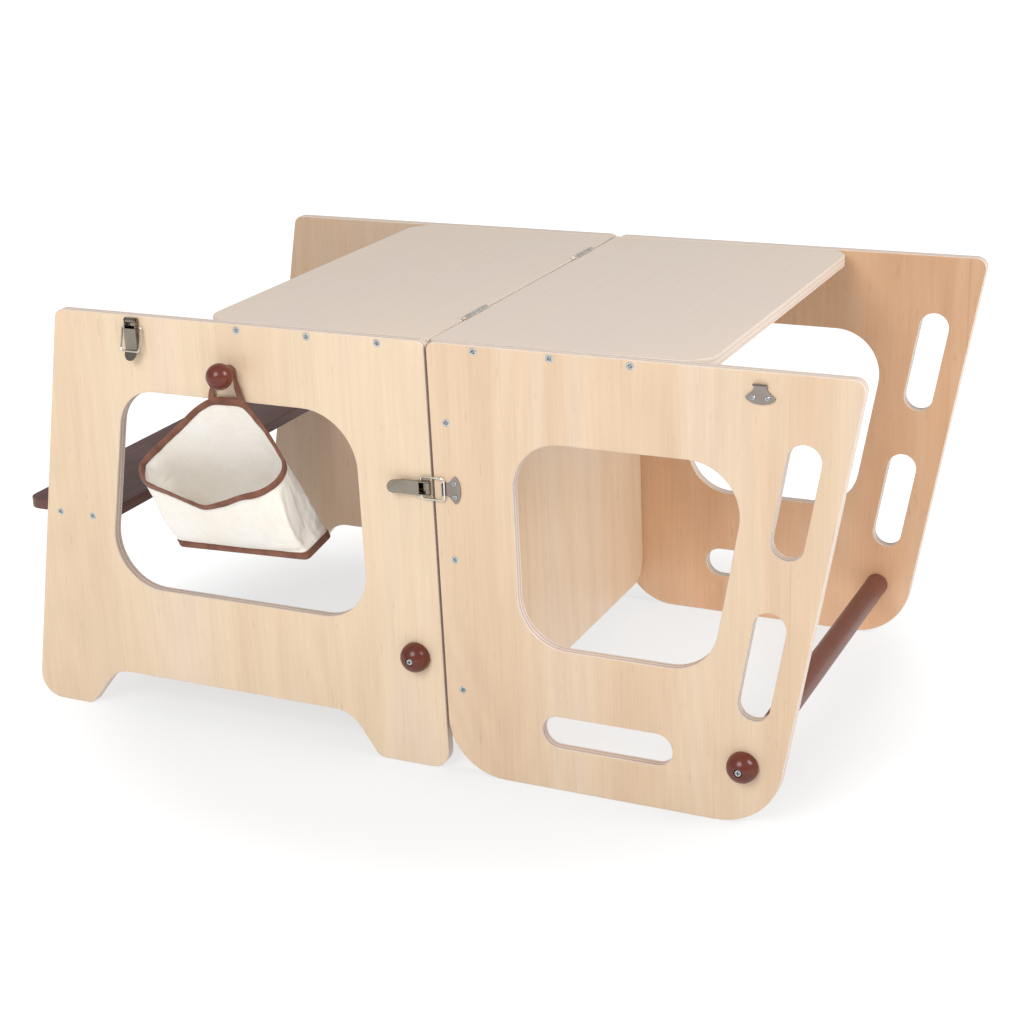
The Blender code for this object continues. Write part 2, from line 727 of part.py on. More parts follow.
for hinge_name, hinge_y in zip(("front_hinge", "rear_hinge"), HINGE_YS):
    butt_hinge(hinge_name, hinge_y)


# Toggle latches: base, pin, lever and wire bail on the lower frame, a hooked keeper on the upper frame

LATCH_PROFILE = axes(X_AXIS, Z_AXIS, Y_AXIS)


def latch_base(name, parent):
    """A strip on the panel whose end is rolled into an eye for the lever's pin."""
    outline = [Vector((-LATCH_BASE_LENGTH, FIT))]
    start = -math.pi / 2
    for step in range(LATCH_ROLL_SIDES + 1):
        angle = start + (LATCH_BASE_CURL_END - start) * step / LATCH_ROLL_SIDES
        outline.append(Vector((
            LATCH_ROLL_RADIUS * math.cos(angle), LATCH_PIVOT_U + LATCH_ROLL_RADIUS * math.sin(angle),
        )))
    outline.append(Vector((-LATCH_BASE_LENGTH, FIT + SHEET)))
    bore = circle(0, LATCH_PIVOT_U, LATCH_PIN_RADIUS + PIN_CLEARANCE)
    place = LATCH_PROFILE @ Matrix.Translation((0, 0, -LATCH_BASE_HALF_WIDTH))
    add(name, plate(name, outline, [bore], 2 * LATCH_BASE_HALF_WIDTH, place), STEEL, parent)


def latch_pin(name, parent):
    """A riveted pin: its heads lie outside the lever's flanges."""
    inside = LEVER_HALF_WIDTH + PIN_CLEARANCE
    outside = inside + LATCH_PIN_HEAD
    profile = [
        (0, -outside), (LATCH_PIN_HEAD_RADIUS, -outside), (LATCH_PIN_HEAD_RADIUS, -inside),
        (LATCH_PIN_RADIUS, -inside), (LATCH_PIN_RADIUS, inside), (LATCH_PIN_HEAD_RADIUS, inside),
        (LATCH_PIN_HEAD_RADIUS, outside), (0, outside),
    ]
    place = Matrix.Translation((0, 0, LATCH_PIVOT_U)) @ Matrix.Rotation(-math.pi / 2, 4, "X")
    add(name, turned(name, profile, SCREW_SIDES, place), STEEL, parent)


def latch_lever(name, parent):
    """A channel with two eyes for its pin, two for the bail, and a thumb tab bent outwards."""
    middle = LEVER_TOP_U - SHEET / 2
    tab = LEVER_LENGTH - LEVER_BEND
    slope = math.tan(LEVER_TAB_ANGLE)
    bend_direction = math.pi - LEVER_TAB_ANGLE / 2
    stations = [(-LEVER_START, middle, math.pi, LEVER_HALF_WIDTH)]
    stations.append((-LEVER_BEND, middle, bend_direction, LEVER_HALF_WIDTH))
    round_start = tab - LEVER_HALF_WIDTH
    for step in range(LEVER_TAB_STEPS + 1):
        angle = LEVER_TAB_ROUND * step / LEVER_TAB_STEPS
        along = round_start + LEVER_HALF_WIDTH * math.sin(angle)
        half_width = LEVER_HALF_WIDTH * math.cos(angle)
        place_u = middle + along * slope
        stations.append((-LEVER_BEND - along, place_u, math.pi - LEVER_TAB_ANGLE, half_width))
    to_pivot = Matrix.Translation((0, 0, -LATCH_PIVOT_U))
    lever = add(name, strip(name, stations, SHEET, to_pivot), STEEL, parent)
    flange = rounded([
        (LEVER_NOSE_A, LEVER_LOW_U, LEVER_NOSE_CORNER),
        (LEVER_NOSE_A, LEVER_NOSE_U, LEVER_NOSE_CORNER),
        (LEVER_SHOULDER_A, middle, 0),
        (LEVER_SKIRT_TOP_END - LEVER_BEND, middle, 0),
        (LEVER_SKIRT_END - LEVER_BEND, LEVER_SKIRT_END_U, LEVER_SKIRT_CORNER),
        (LEVER_SKIRT_A, LEVER_SKIRT_U, LEVER_EYE_CORNER),
        (LEVER_LOW_END_A, LEVER_LOW_U, LEVER_EYE_CORNER),
    ])
    eye = LATCH_PIN_RADIUS + PIN_CLEARANCE
    bail_eye = BAIL_WIRE_RADIUS + PIN_CLEARANCE
    holes = [circle(0, LATCH_PIVOT_U, eye), circle(BAIL_PIN_A, BAIL_PIN_U, bail_eye)]
    outer = LEVER_HALF_WIDTH - LEVER_FLANGE_INSET
    for side, start in (("left", -outer), ("right", outer - LEVER_FLANGE)):
        helper_name = f"{name}_{side}_flange"
        place = to_pivot @ LATCH_PROFILE @ Matrix.Translation((0, 0, start))
        helper = add(helper_name, plate(helper_name, flange, holes, LEVER_FLANGE, place), STEEL, parent)
        combine(lever, helper, "UNION")


def latch_bail(name, parent):
    """A wire loop: its two ends turn in towards each other through the lever's flanges."""
    inner = LEVER_HALF_WIDTH - LEVER_FLANGE - 2 * LEVER_FLANGE_INSET
    corners = [
        (0, inner, 0), (0, BAIL_HALF_WIDTH, BAIL_CORNER / 2), (BAIL_LENGTH, BAIL_HALF_WIDTH, BAIL_CORNER),
        (BAIL_LENGTH, -BAIL_HALF_WIDTH, BAIL_CORNER), (0, -BAIL_HALF_WIDTH, BAIL_CORNER / 2), (0, -inner, 0),
    ]
    path = rounded(corners)[::2]
    if path[-1] != Vector((0, -inner)):
        path.append(Vector((0, -inner)))
    wire = bpy.data.curves.new(name, "CURVE")
    wire.dimensions = "3D"
    wire.bevel_depth = BAIL_WIRE_RADIUS
    wire.bevel_resolution = 2
    wire.use_fill_caps = True
    spline = wire.splines.new("POLY")
    spline.points.add(len(path) - 1)
    for point, target in zip(spline.points, path):
        point.co = (target.x, target.y, 0, 1)
    return add(name, wire, STEEL, parent)


def keeper_half_width(distance):
    """Half width of the keeper at a distance from its tip: neck, flared plate, round far edge."""
    if distance < KEEPER_NECK_LENGTH:
        return KEEPER_NECK_HALF_WIDTH
    if distance < KEEPER_WIDEST:
        share = (distance - KEEPER_NECK_LENGTH) / (KEEPER_WIDEST - KEEPER_NECK_LENGTH)
        wider = KEEPER_PLATE_HALF_WIDTH - KEEPER_NECK_HALF_WIDTH
        return KEEPER_NECK_HALF_WIDTH + wider * share ** KEEPER_FLARE
    share = (distance - KEEPER_WIDEST) / (KEEPER_LENGTH - KEEPER_WIDEST)
    return KEEPER_PLATE_HALF_WIDTH * math.sqrt(max(0.0, 1 - share ** 2)) + KEEPER_FAR_HALF_WIDTH


def keeper(name, parent, to_parent):
    """A plate whose neck curls up into the hook that the bail pulls on."""
    curl_middle = KEEPER_CURL_RADIUS - SHEET / 2
    centre_a = KEEPER_TIP_A + KEEPER_CURL_RADIUS
    centre_u = FIT + KEEPER_CURL_RADIUS
    stations = []
    turn = KEEPER_CURL_END - KEEPER_CURL_START
    for step in range(KEEPER_CURL_STEPS + 1):
        angle = KEEPER_CURL_START + turn * step / KEEPER_CURL_STEPS
        a = centre_a + curl_middle * math.cos(angle)
        u = centre_u + curl_middle * math.sin(angle)
        stations.append((a, u, angle + math.pi / 2, KEEPER_NECK_HALF_WIDTH))
    plate_u = FIT + SHEET / 2
    for row in range(1, KEEPER_ROWS + 1):
        share = math.sin(math.pi / 2 * row / KEEPER_ROWS)
        distance = KEEPER_CURL_RADIUS + (KEEPER_LENGTH - KEEPER_CURL_RADIUS) * share
        stations.append((KEEPER_TIP_A + distance, plate_u, 0.0, keeper_half_width(distance)))
    add(name, strip(name, stations, SHEET, to_parent), STEEL, parent)


def latch_frame(x, z, towards, outside):
    """The latch's own a, b and u axes: a towards the keeper, u out of the panel."""
    face = 0.0 if outside.y < 0 else DEPTH
    return axes(towards, outside.cross(towards), outside, (x, face, z))


def latch(name, x, z, towards, outside, rest_angle):
    """A latch on the lower frame; rest_angle lifts its bail from the keeper back over the lever."""
    frame = group(f"{name}_latch", root, latch_frame(x, z, towards, outside))
    latch_base(f"{name}_latch_base", frame)
    latch_pin(f"{name}_latch_pin", frame)
    lever = group(f"{name}_lever_pivot", frame, Matrix.Translation((0, 0, LATCH_PIVOT_U)))
    latch_lever(f"{name}_latch_lever", lever)
    offset = Matrix.Translation((BAIL_PIN_A, 0, BAIL_PIN_U - LATCH_PIVOT_U))
    bail = group(f"{name}_bail_pivot", lever, offset @ Matrix.Rotation(-rest_angle, 4, "Y"))
    latch_bail(f"{name}_latch_bail", bail)


for side, outside in (("front", -Y_AXIS), ("rear", Y_AXIS)):
    latch(f"{side}_side", SIDE_LATCH_X, SIDE_LATCH_Z, X_AXIS, outside, 0.0)
    keeper(f"{side}_side_keeper", upper, TO_UPPER @ latch_frame(SIDE_LATCH_X, SIDE_LATCH_Z, X_AXIS, outside))
    latch(f"{side}_top", TOP_LATCH_X, TOP_LATCH_Z, Z_AXIS, outside, BAIL_STORED_ANGLE)
    folded = latch_frame(-TOP_LATCH_X, 2 * HINGE_AXIS_Z - TOP_LATCH_Z, -Z_AXIS, outside)
    keeper(f"{side}_top_keeper", upper, TO_UPPER @ folded)


# Cloth bag hanging on the peg: it turns about the peg's axis

bag = group("bag", root, Matrix.Translation((PEG_X, 0, PEG_Z)))


def smooth_line(controls, count):
    """Points spaced evenly along a smooth curve through the controls."""
    fine = []
    for index in range(len(controls) - 1):
        before = Vector(controls[max(index - 1, 0)])
        start = Vector(controls[index])
        end = Vector(controls[index + 1])
        after = Vector(controls[min(index + 2, len(controls) - 1)])
        for step in range(BAG_CURVE_STEPS):
            t = step / BAG_CURVE_STEPS
            fine.append(0.5 * (
                2 * start + (end - before) * t
                + (2 * before - 5 * start + 4 * end - after) * t ** 2
                + (3 * start - before - 3 * end + after) * t ** 3
            ))
    fine.append(Vector(controls[-1]))
    lengths = [0.0]
    for a, b in zip(fine, fine[1:]):
        lengths.append(lengths[-1] + (b - a).length)
    result = []
    for index in range(count):
        wanted = lengths[-1] * index / count
        position = next(i for i in range(1, len(lengths)) if lengths[i] > wanted)
        share = (wanted - lengths[position - 1]) / (lengths[position] - lengths[position - 1])
        result.append(fine[position - 1].lerp(fine[position], share))
    return result


def bag_base_loop():
    """The base: a tilted rounded rectangle, starting at the middle of its left side."""
    half_x, half_y = BAG_BASE_LENGTH / 2, BAG_BASE_DEPTH / 2
    plan = rounded([
        (-half_x, -half_y, BAG_BASE_CORNER), (half_x, -half_y, BAG_BASE_CORNER),
        (half_x, half_y, BAG_BASE_CORNER), (-half_x, half_y, BAG_BASE_CORNER),
    ])
    tilt = Matrix.Rotation(-BAG_BASE_ROLL, 4, "Y") @ Matrix.Rotation(BAG_BASE_TILT, 4, "X")
    split = len(plan) // 2
    front = [Vector((-half_x, 0)), *plan[:split], Vector((half_x, 0))]
    rear = [Vector((half_x, 0)), *plan[split:], Vector((-half_x, 0))]
    loops = []
    for half in (front, rear):
        controls = [Vector(BAG_BASE_CENTRE) + tilt @ Vector((point.x, point.y, 0)) for point in half]
        loops += smooth_line(controls, BAG_RIM_STEPS)
    return loops


def bag_body():
    """An open bag: one skin from the base up to the rim, given the cloth's thickness."""
    base = bag_base_loop()
    rim = smooth_line(BAG_FRONT_RIM, BAG_RIM_STEPS) + smooth_line(BAG_REAR_RIM, BAG_RIM_STEPS)
    size = len(base)
    centre = sum(base, Vector()) / size
    points = []
    for row in range(BAG_ROWS + 1):
        share = row / BAG_ROWS
        for low, high in zip(base, rim):
            away = (low - centre).normalized()
            point = low.lerp(high, share) + away * BAG_BULGE * math.sin(math.pi * share) * (low.y < 0)
            points.append(point)
    faces = []
    for row in range(BAG_ROWS):
        for index in range(size):
            following = (index + 1) % size
            low = row * size
            faces.append((low + index, low + following, low + size + following, low + size + index))
    middle = len(points)
    points.append(centre)
    faces += [((index + 1) % size, index, middle) for index in range(size)]
    mesh = closed_mesh("bag_body", points, faces)
    piece = add("bag_body", mesh, CANVAS, bag)
    thicken = piece.modifiers.new("cloth", "SOLIDIFY")
    thicken.thickness = CLOTH
    thicken.offset = -1
    return piece


def bag_loop():
    """A tape over the peg's neck, with its two ends on the bag's rim."""
    radius = PEG_NECK_RADIUS + FIT + LOOP_THICKNESS / 2
    right, left = (Vector((corner[0], corner[2] + LOOP_SEAT)) for corner in BAG_REAR_RIM[2:4])
    path = [left]
    for step in range(LOOP_STEPS + 1):
        angle = math.pi + LOOP_WRAP - (math.pi + 2 * LOOP_WRAP) * step / LOOP_STEPS
        path.append(Vector((radius * math.cos(angle), radius * math.sin(angle))))
    path.append(right)
    outer = []
    inner = []
    for index, point in enumerate(path):
        along = (path[min(index + 1, len(path) - 1)] - path[max(index - 1, 0)]).normalized()
        across = Vector((-along.y, along.x)) * LOOP_THICKNESS / 2
        outer.append(point + across)
        inner.append(point - across)
    place = axes(X_AXIS, Z_AXIS, Y_AXIS, (0, LOOP_Y - LOOP_WIDTH / 2, 0))
    mesh = plate("bag_loop", outer + inner[::-1], [], LOOP_WIDTH, place)
    return add("bag_loop", mesh, TAPE, bag)


bag_body()
bag_loop()


# Put the origin under the middle of the bounding box

def bounding_box():
    bpy.context.view_layer.update()
    graph = bpy.context.evaluated_depsgraph_get()
    corners = []
    for piece in bpy.data.objects:
        if piece.type in {"MESH", "CURVE"} and not piece.hide_render:
            evaluated = piece.evaluated_get(graph)
            mesh = evaluated.to_mesh()
            corners += [evaluated.matrix_world @ vertex.co for vertex in mesh.vertices]
            evaluated.to_mesh_clear()
    low = Vector(min(corner[axis] for corner in corners) for axis in range(3))
    high = Vector(max(corner[axis] for corner in corners) for axis in range(3))
    return low, high


lowest, highest = bounding_box()
root.location = (-(lowest.x + highest.x) / 2, -(lowest.y + highest.y) / 2, -lowest.z)
bpy.context.view_layer.update()
print("size", tuple(round(value, 5) for value in highest - lowest))
print("origin moved by", tuple(round(value, 6) for value in root.location))
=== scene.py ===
"""Finishes and small parts of the folding learning tower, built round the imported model."""

import json
import math

import bmesh
import bpy
from mathutils import Matrix, Vector, noise

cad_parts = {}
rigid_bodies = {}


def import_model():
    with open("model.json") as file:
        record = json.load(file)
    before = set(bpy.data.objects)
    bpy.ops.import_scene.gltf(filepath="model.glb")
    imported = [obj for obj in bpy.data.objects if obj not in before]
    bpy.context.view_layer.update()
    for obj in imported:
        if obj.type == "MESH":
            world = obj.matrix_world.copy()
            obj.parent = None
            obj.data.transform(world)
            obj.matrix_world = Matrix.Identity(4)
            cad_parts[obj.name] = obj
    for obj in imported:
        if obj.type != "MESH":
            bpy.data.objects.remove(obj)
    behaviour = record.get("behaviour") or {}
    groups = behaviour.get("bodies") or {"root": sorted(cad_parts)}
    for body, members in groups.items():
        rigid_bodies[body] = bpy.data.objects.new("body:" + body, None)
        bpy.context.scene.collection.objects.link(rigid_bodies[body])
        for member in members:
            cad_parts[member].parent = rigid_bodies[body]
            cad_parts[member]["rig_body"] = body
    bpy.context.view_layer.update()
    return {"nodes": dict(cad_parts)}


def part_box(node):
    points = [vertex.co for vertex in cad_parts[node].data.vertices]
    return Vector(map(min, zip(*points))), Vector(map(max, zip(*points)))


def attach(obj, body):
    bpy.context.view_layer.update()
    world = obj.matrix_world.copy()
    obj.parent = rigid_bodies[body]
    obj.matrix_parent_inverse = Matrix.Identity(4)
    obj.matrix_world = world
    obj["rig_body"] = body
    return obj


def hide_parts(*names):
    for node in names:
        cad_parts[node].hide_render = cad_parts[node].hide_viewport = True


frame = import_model()


# Photographer's camera: a 69 mm lens, 25 degrees to the right of the front and 20 degrees up,
# rolled by 2 degrees. Its place is measured from the top of the joint at the front face.

pin_low, pin_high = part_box("front_hinge_pin")
JOINT_FRONT = Vector(((pin_low.x + pin_high.x) / 2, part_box("lower_front_panel")[0].y, 0.0))
CAMERA_LENS = 69.17
SENSOR_WIDTH = 36.0
FARTHEST_SEEN = 60.0
CAMERA_PLACE = Vector((0.8412, -1.5889, 0.9312))
CAMERA_RIGHT = Vector((0.90779, 0.41804, -0.03407))
CAMERA_UP = Vector((-0.11433, 0.32478, 0.93887))
CAMERA_AHEAD = Vector((-0.40354, 0.84840, -0.34262))


def in_scene(name, data):
    """A new object that holds some data, linked into the scene."""
    made = bpy.data.objects.new(name, data)
    bpy.context.scene.collection.objects.link(made)
    return made


camera = in_scene("camera", bpy.data.cameras.new("camera"))
camera.data.lens = CAMERA_LENS
camera.data.sensor_width = SENSOR_WIDTH
camera.data.clip_end = FARTHEST_SEEN
camera_turn = Matrix((CAMERA_RIGHT, CAMERA_UP, -CAMERA_AHEAD)).transposed()
camera.matrix_world = Matrix.Translation(JOINT_FRONT + CAMERA_PLACE) @ camera_turn.to_4x4()
bpy.context.scene.camera = camera


# Studio: a pale floor under a dim even sky, which is white where the floor ends. One large soft
# light stands high in front, a second one on the right; the paper floor glows as if lit from
# beneath, a little less near the middle as a painted shadow under the tower.

FLOOR_HALF = 18.0
PAPER = {
    "Base Color": (0.22, 0.22, 0.22, 1.0), "Roughness": 0.9, "Specular IOR Level": 0.1,
    "Emission Color": (1.0, 1.0, 1.0, 1.0),
}
FLOOR_GLOW = ((0.36, 0.67), (0.64, 0.96))
SKY_TONES = ((0.0, 1.0), (0.015, 1.0), (0.08, 0.46), (1.0, 0.60))
SOFT_LIGHTS = (
    ("key_light", (-0.23, -2.60, 2.10), 1.7, 53.0),
    ("side_light", (2.60, -0.05, 2.10), 1.4, 58.0),
)
LIGHTS_AIM = Vector((0, 0, 0.25))

bpy.context.scene.view_settings.view_transform = "Standard"


def shader_node(tree, kind, inputs=None, **settings):
    """Add a node, set what it is told, and wire in any sockets among its inputs."""
    made = tree.nodes.new(kind)
    for key, value in settings.items():
        setattr(made, key, value)
    for socket, value in (inputs or {}).items():
        if isinstance(value, bpy.types.NodeSocket):
            tree.links.new(value, made.inputs[socket])
        else:
            made.inputs[socket].default_value = value
    return made


def ramp(tree, value, stops):
    """A colour ramp read at a value; its stops are (position, (r, g, b))."""
    made = shader_node(tree, "ShaderNodeValToRGB", {"Fac": value})
    elements = made.color_ramp.elements
    while len(elements) < len(stops):
        elements.new(1.0)
    for element, (position, colour) in zip(elements, stops):
        element.position = position
        element.color = (*colour, 1.0)
    return made.outputs["Color"]


def greys(tree, value, stops):
    """A ramp of greys; its stops are (position, grey)."""
    return ramp(tree, value, [(position, (grey,) * 3) for position, grey in stops])


def new_finish(name, fixed):
    """A material with its node tree and its shader; fixed are the values that hold all over it."""
    material = bpy.data.materials.new(name)
    material.use_nodes = True
    shader = material.node_tree.nodes["Principled BSDF"]
    for socket, value in fixed.items():
        shader.inputs[socket].default_value = value
    return material, material.node_tree, shader


def object_space(tree):
    return shader_node(tree, "ShaderNodeTexCoord").outputs["Object"]


sky = bpy.data.worlds.new("studio_sky")
bpy.context.scene.world = sky
sky.use_nodes = True
sky_tree = sky.node_tree
looking = shader_node(sky_tree, "ShaderNodeTexCoord").outputs["Generated"]
height = shader_node(sky_tree, "ShaderNodeSeparateXYZ", {"Vector": looking}).outputs["Z"]
sky_tree.links.new(greys(sky_tree, height, SKY_TONES), sky_tree.nodes["Background"].inputs["Color"])

for name, place, size, power in SOFT_LIGHTS:
    light = bpy.data.lights.new(name, "AREA")
    light.shape = "DISK"
    light.size = size
    light.energy = power
    lamp = in_scene(name, light)
    lamp.location = place
    lamp.rotation_euler = (LIGHTS_AIM - lamp.location).to_track_quat("-Z", "Y").to_euler()

white_paper, paper_tree, paper = new_finish("white_paper", PAPER)
distance = shader_node(paper_tree, "ShaderNodeVectorMath", {0: object_space(paper_tree)}, operation="LENGTH")
# The glow is dimmer near the middle: painted shadow under the tower.
(near, dim), (far, bright) = FLOOR_GLOW
glow = shader_node(paper_tree, "ShaderNodeMapRange", {
    "Value": distance.outputs["Value"], "From Min": near, "From Max": far, "To Min": dim, "To Max": bright,
}, interpolation_type="SMOOTHSTEP")
paper_tree.links.new(glow.outputs["Result"], paper.inputs["Emission Strength"])
floor_mesh = bpy.data.meshes.new("studio_floor")
floor_mesh.from_pydata([
    (x * FLOOR_HALF, y * FLOOR_HALF, 0) for x, y in ((-1, -1), (1, -1), (1, 1), (-1, 1))
], [], [(0, 1, 2, 3)])
floor_mesh.materials.append(white_paper)
in_scene("studio_floor", floor_mesh)


# Side panels and divider: 12 mm birch plywood. The veneer's grain stands upright and the cut edges
# show five plies under a clear satin lacquer. The faces inside the frames are painted a darker tan
# as shade, the upper rear panel's inside face a darker orange as shade and warm bounce light, paler
# towards its foot as bounce light from the floor.

PLY = 0.012
PLIES = 5
SHEET_MARGIN = 0.03
JOINT_LEAN = 0.0133
PALE_VENEER = ((0.697, 0.546, 0.384), (0.676, 0.511, 0.352), (0.692, 0.543, 0.408), (0.648, 0.478, 0.328))
WARM_VENEER = ((0.672, 0.507, 0.351), (0.648, 0.474, 0.321), (0.669, 0.523, 0.387), (0.616, 0.437, 0.293))
# Darker tones for the faces inside the frames: painted shade.
SHADE_PAINTED_VENEER = ((0.524, 0.367, 0.248), (0.501, 0.342, 0.227), (0.534, 0.391, 0.280), (0.466, 0.304, 0.197))
# Darker orange tones for the upper rear panel's inner face: painted shade and warm bounce light.
SHADE_AND_BOUNCE_PAINTED_VENEER = ((0.598, 0.369, 0.222), (0.567, 0.337, 0.196), (0.594, 0.389, 0.247), (0.528, 0.296, 0.165))
PLY_LIGHT = (0.700, 0.605, 0.530)
PLY_DARK = (0.540, 0.415, 0.340)
GLUE = (0.300, 0.195, 0.140)
GROWTH_RINGS = 95.0
LACQUER = {"Coat Weight": 0.12, "Coat Roughness": 0.28}


def value_of(tree, operation, first, second=0.0):
    """One sum on two numbers or sockets."""
    return shader_node(tree, "ShaderNodeMath", {0: first, 1: second}, operation=operation).outputs[0]


def off_half(tree, value):
    """How far a value lies from a half."""
    return value_of(tree, "ABSOLUTE", value_of(tree, "SUBTRACT", value, 0.5))


def blend_colours(tree, factor, first, second, mode="MIX"):
    """Two colours or sockets mixed by a factor."""
    made = shader_node(tree, "ShaderNodeMix", data_type="RGBA", blend_type=mode)
    for socket, value in ((0, factor), (6, first), (7, second)):
        if isinstance(value, bpy.types.NodeSocket):
            tree.links.new(value, made.inputs[socket])
        elif socket == 0:
            made.inputs[0].default_value = value
        else:
            made.inputs[socket].default_value = (*value, 1.0)
    return made.outputs[2]


def multiplied(tree, colour, *tones):
    """A colour times each of some tones in turn."""
    for tone in tones:
        colour = blend_colours(tree, 1.0, colour, tone, "MULTIPLY")
    return colour


def stretched_noise(tree, place, scale, detail=3.0, roughness=0.5, distortion=0.0):
    """Noise in object space, with a scale of its own along each direction."""
    mapping = shader_node(tree, "ShaderNodeMapping", {
        "Vector": object_space(tree), "Location": place, "Scale": scale,
    })
    made = shader_node(tree, "ShaderNodeTexNoise", {
        "Vector": mapping.outputs["Vector"], "Scale": 1.0, "Detail": detail,
        "Roughness": roughness, "Distortion": distortion,
    })
    return made.outputs["Fac"]


def along_axis(tree, axis):
    """One coordinate of the object's own space."""
    return shader_node(tree, "ShaderNodeSeparateXYZ", {"Vector": object_space(tree)}).outputs[axis]


def painted(tree, shader, colour, roughness):
    """Wire a colour and a roughness into a shader."""
    tree.links.new(colour, shader.inputs["Base Color"])
    tree.links.new(roughness, shader.inputs["Roughness"])


def raised(tree, shader, height, strength, depth):
    """Fine relief from a pattern of heights, depth metres at most."""
    bump = shader_node(tree, "ShaderNodeBump", {"Height": height, "Strength": strength, "Distance": depth})
    tree.links.new(bump.outputs["Normal"], shader.inputs["Normal"])
    return bump


def through_sheet(tree, place, start):
    """How deep a point lies in a sheet: 0 on its first face, 1 on its second."""
    return value_of(tree, "DIVIDE", value_of(tree, "SUBTRACT", place, start), PLY)


def on_sheet(tree, depth):
    """1 on a sheet's two faces, 0 on its cut edges."""
    return value_of(tree, "GREATER_THAN", off_half(tree, depth), 0.5 - SHEET_MARGIN)


def ply_colours(tree, depth):
    """The cut edge: pale and dark plies in turn, with a thin glue line between them."""
    counted = value_of(tree, "MULTIPLY", depth, float(PLIES))
    pair = value_of(tree, "FRACT", value_of(tree, "MULTIPLY", counted, 0.5))
    plies = ramp(tree, pair, [(0.0, PLY_LIGHT), (0.44, PLY_LIGHT), (0.52, PLY_DARK), (0.96, PLY_DARK)])
    glue_line = greys(tree, off_half(tree, value_of(tree, "FRACT", counted)), [(0.45, 0.0), (0.49, 0.40)])
    return blend_colours(tree, glue_line, plies, GLUE)


def plywood(name, through, start, veneers, seed, painted_bounce_foot=1.0):
    """Plywood whose thickness runs from start along a direction, each face with its own veneer."""
    material, tree, shader = new_finish(name, LACQUER)
    place = (seed * 1.7, seed * 0.9, seed * 2.3)
    along = shader_node(tree, "ShaderNodeVectorMath", {
        0: object_space(tree), 1: through,
    }, operation="DOT_PRODUCT")
    depth = through_sheet(tree, along.outputs["Value"], start)

    figure = stretched_noise(tree, place, (11.0, 11.0, 0.9), 5.0, 0.55, 0.4)
    first_face, second_face = (
        ramp(tree, figure, [(0.30, dark), (0.42, middle), (0.50, light), (0.60, rosy), (0.72, middle)])
        for light, middle, rosy, dark in veneers
    )
    # The first face is painted paler towards the floor by the given factor: painted bounce light from the
    # floor.
    foot = greys(tree, along_axis(tree, "Z"), [(0.04, painted_bounce_foot), (0.36, 1.0)])
    behind = value_of(tree, "GREATER_THAN", depth, 0.5)
    veneer = blend_colours(tree, behind, multiplied(tree, first_face, foot), second_face)
    field = stretched_noise(tree, place, (6.5, 6.5, 1.4), 1.0, 0.4)
    rings = value_of(tree, "SINE", value_of(tree, "MULTIPLY", field, GROWTH_RINGS))
    streaks = stretched_noise(tree, place, (95.0, 95.0, 1.8), 4.0, 0.6)
    hairs = stretched_noise(tree, place, (330.0, 330.0, 2.6), 3.0, 0.7)
    fibres = stretched_noise(tree, place, (900.0, 900.0, 16.0), 2.0, 0.6)
    flecks = stretched_noise(tree, place, (260.0, 260.0, 42.0), 1.0, 0.5)
    veneer = multiplied(
        tree, veneer,
        greys(tree, value_of(tree, "MULTIPLY_ADD", rings, 0.5), [(0.0, 0.975), (1.0, 1.01)]),
        ramp(tree, streaks, [(0.32, (0.980, 0.970, 0.955)), (0.58, (1.01, 1.01, 1.01))]),
        ramp(tree, hairs, [(0.24, (0.90, 0.85, 0.79)), (0.36, (1.0, 1.0, 1.0))]),
        greys(tree, fibres, [(0.35, 0.955), (0.60, 1.01)]),
        greys(tree, flecks, [(0.68, 1.0), (0.76, 0.90)]),
    )

    wander = stretched_noise(tree, place, (60.0, 60.0, 60.0), 2.0)
    wavy = value_of(tree, "MULTIPLY_ADD", wander, 0.06)
    tree.links.new(depth, wavy.node.inputs[2])
    grain = stretched_noise(tree, place, (420.0, 420.0, 420.0), 2.0)
    edge = multiplied(tree, ply_colours(tree, wavy), greys(tree, grain, [(0.3, 0.92), (0.6, 1.03)]))
    colour = blend_colours(tree, on_sheet(tree, depth), edge, veneer)
    painted(tree, shader, colour, greys(tree, streaks, [(0.3, 0.50), (0.7, 0.40)]))
    raised(tree, shader, fibres, 0.10, 0.0004)
    return material


def as_mesh(piece):
    """What a piece shows with its modifiers, as a plain mesh."""
    graph = bpy.context.evaluated_depsgraph_get()
    return bpy.data.meshes.new_from_object(piece.evaluated_get(graph), depsgraph=graph)


def settle(piece):
    """Turn a piece with its modifiers into a plain mesh."""
    result = as_mesh(piece)
    piece.modifiers.clear()
    piece.data = result


def mesh_from(work, name):
    """A new mesh from the faces worked on, pointing out."""
    bmesh.ops.recalc_face_normals(work, faces=work.faces)
    mesh = bpy.data.meshes.new(name)
    work.to_mesh(mesh)
    work.free()
    return mesh


def smooth_but_for(mesh, degrees):
    """Round shading that stays sharp across the edges steeper than this."""
    mesh.shade_smooth()
    mesh.set_sharp_from_angle(angle=math.radians(degrees))


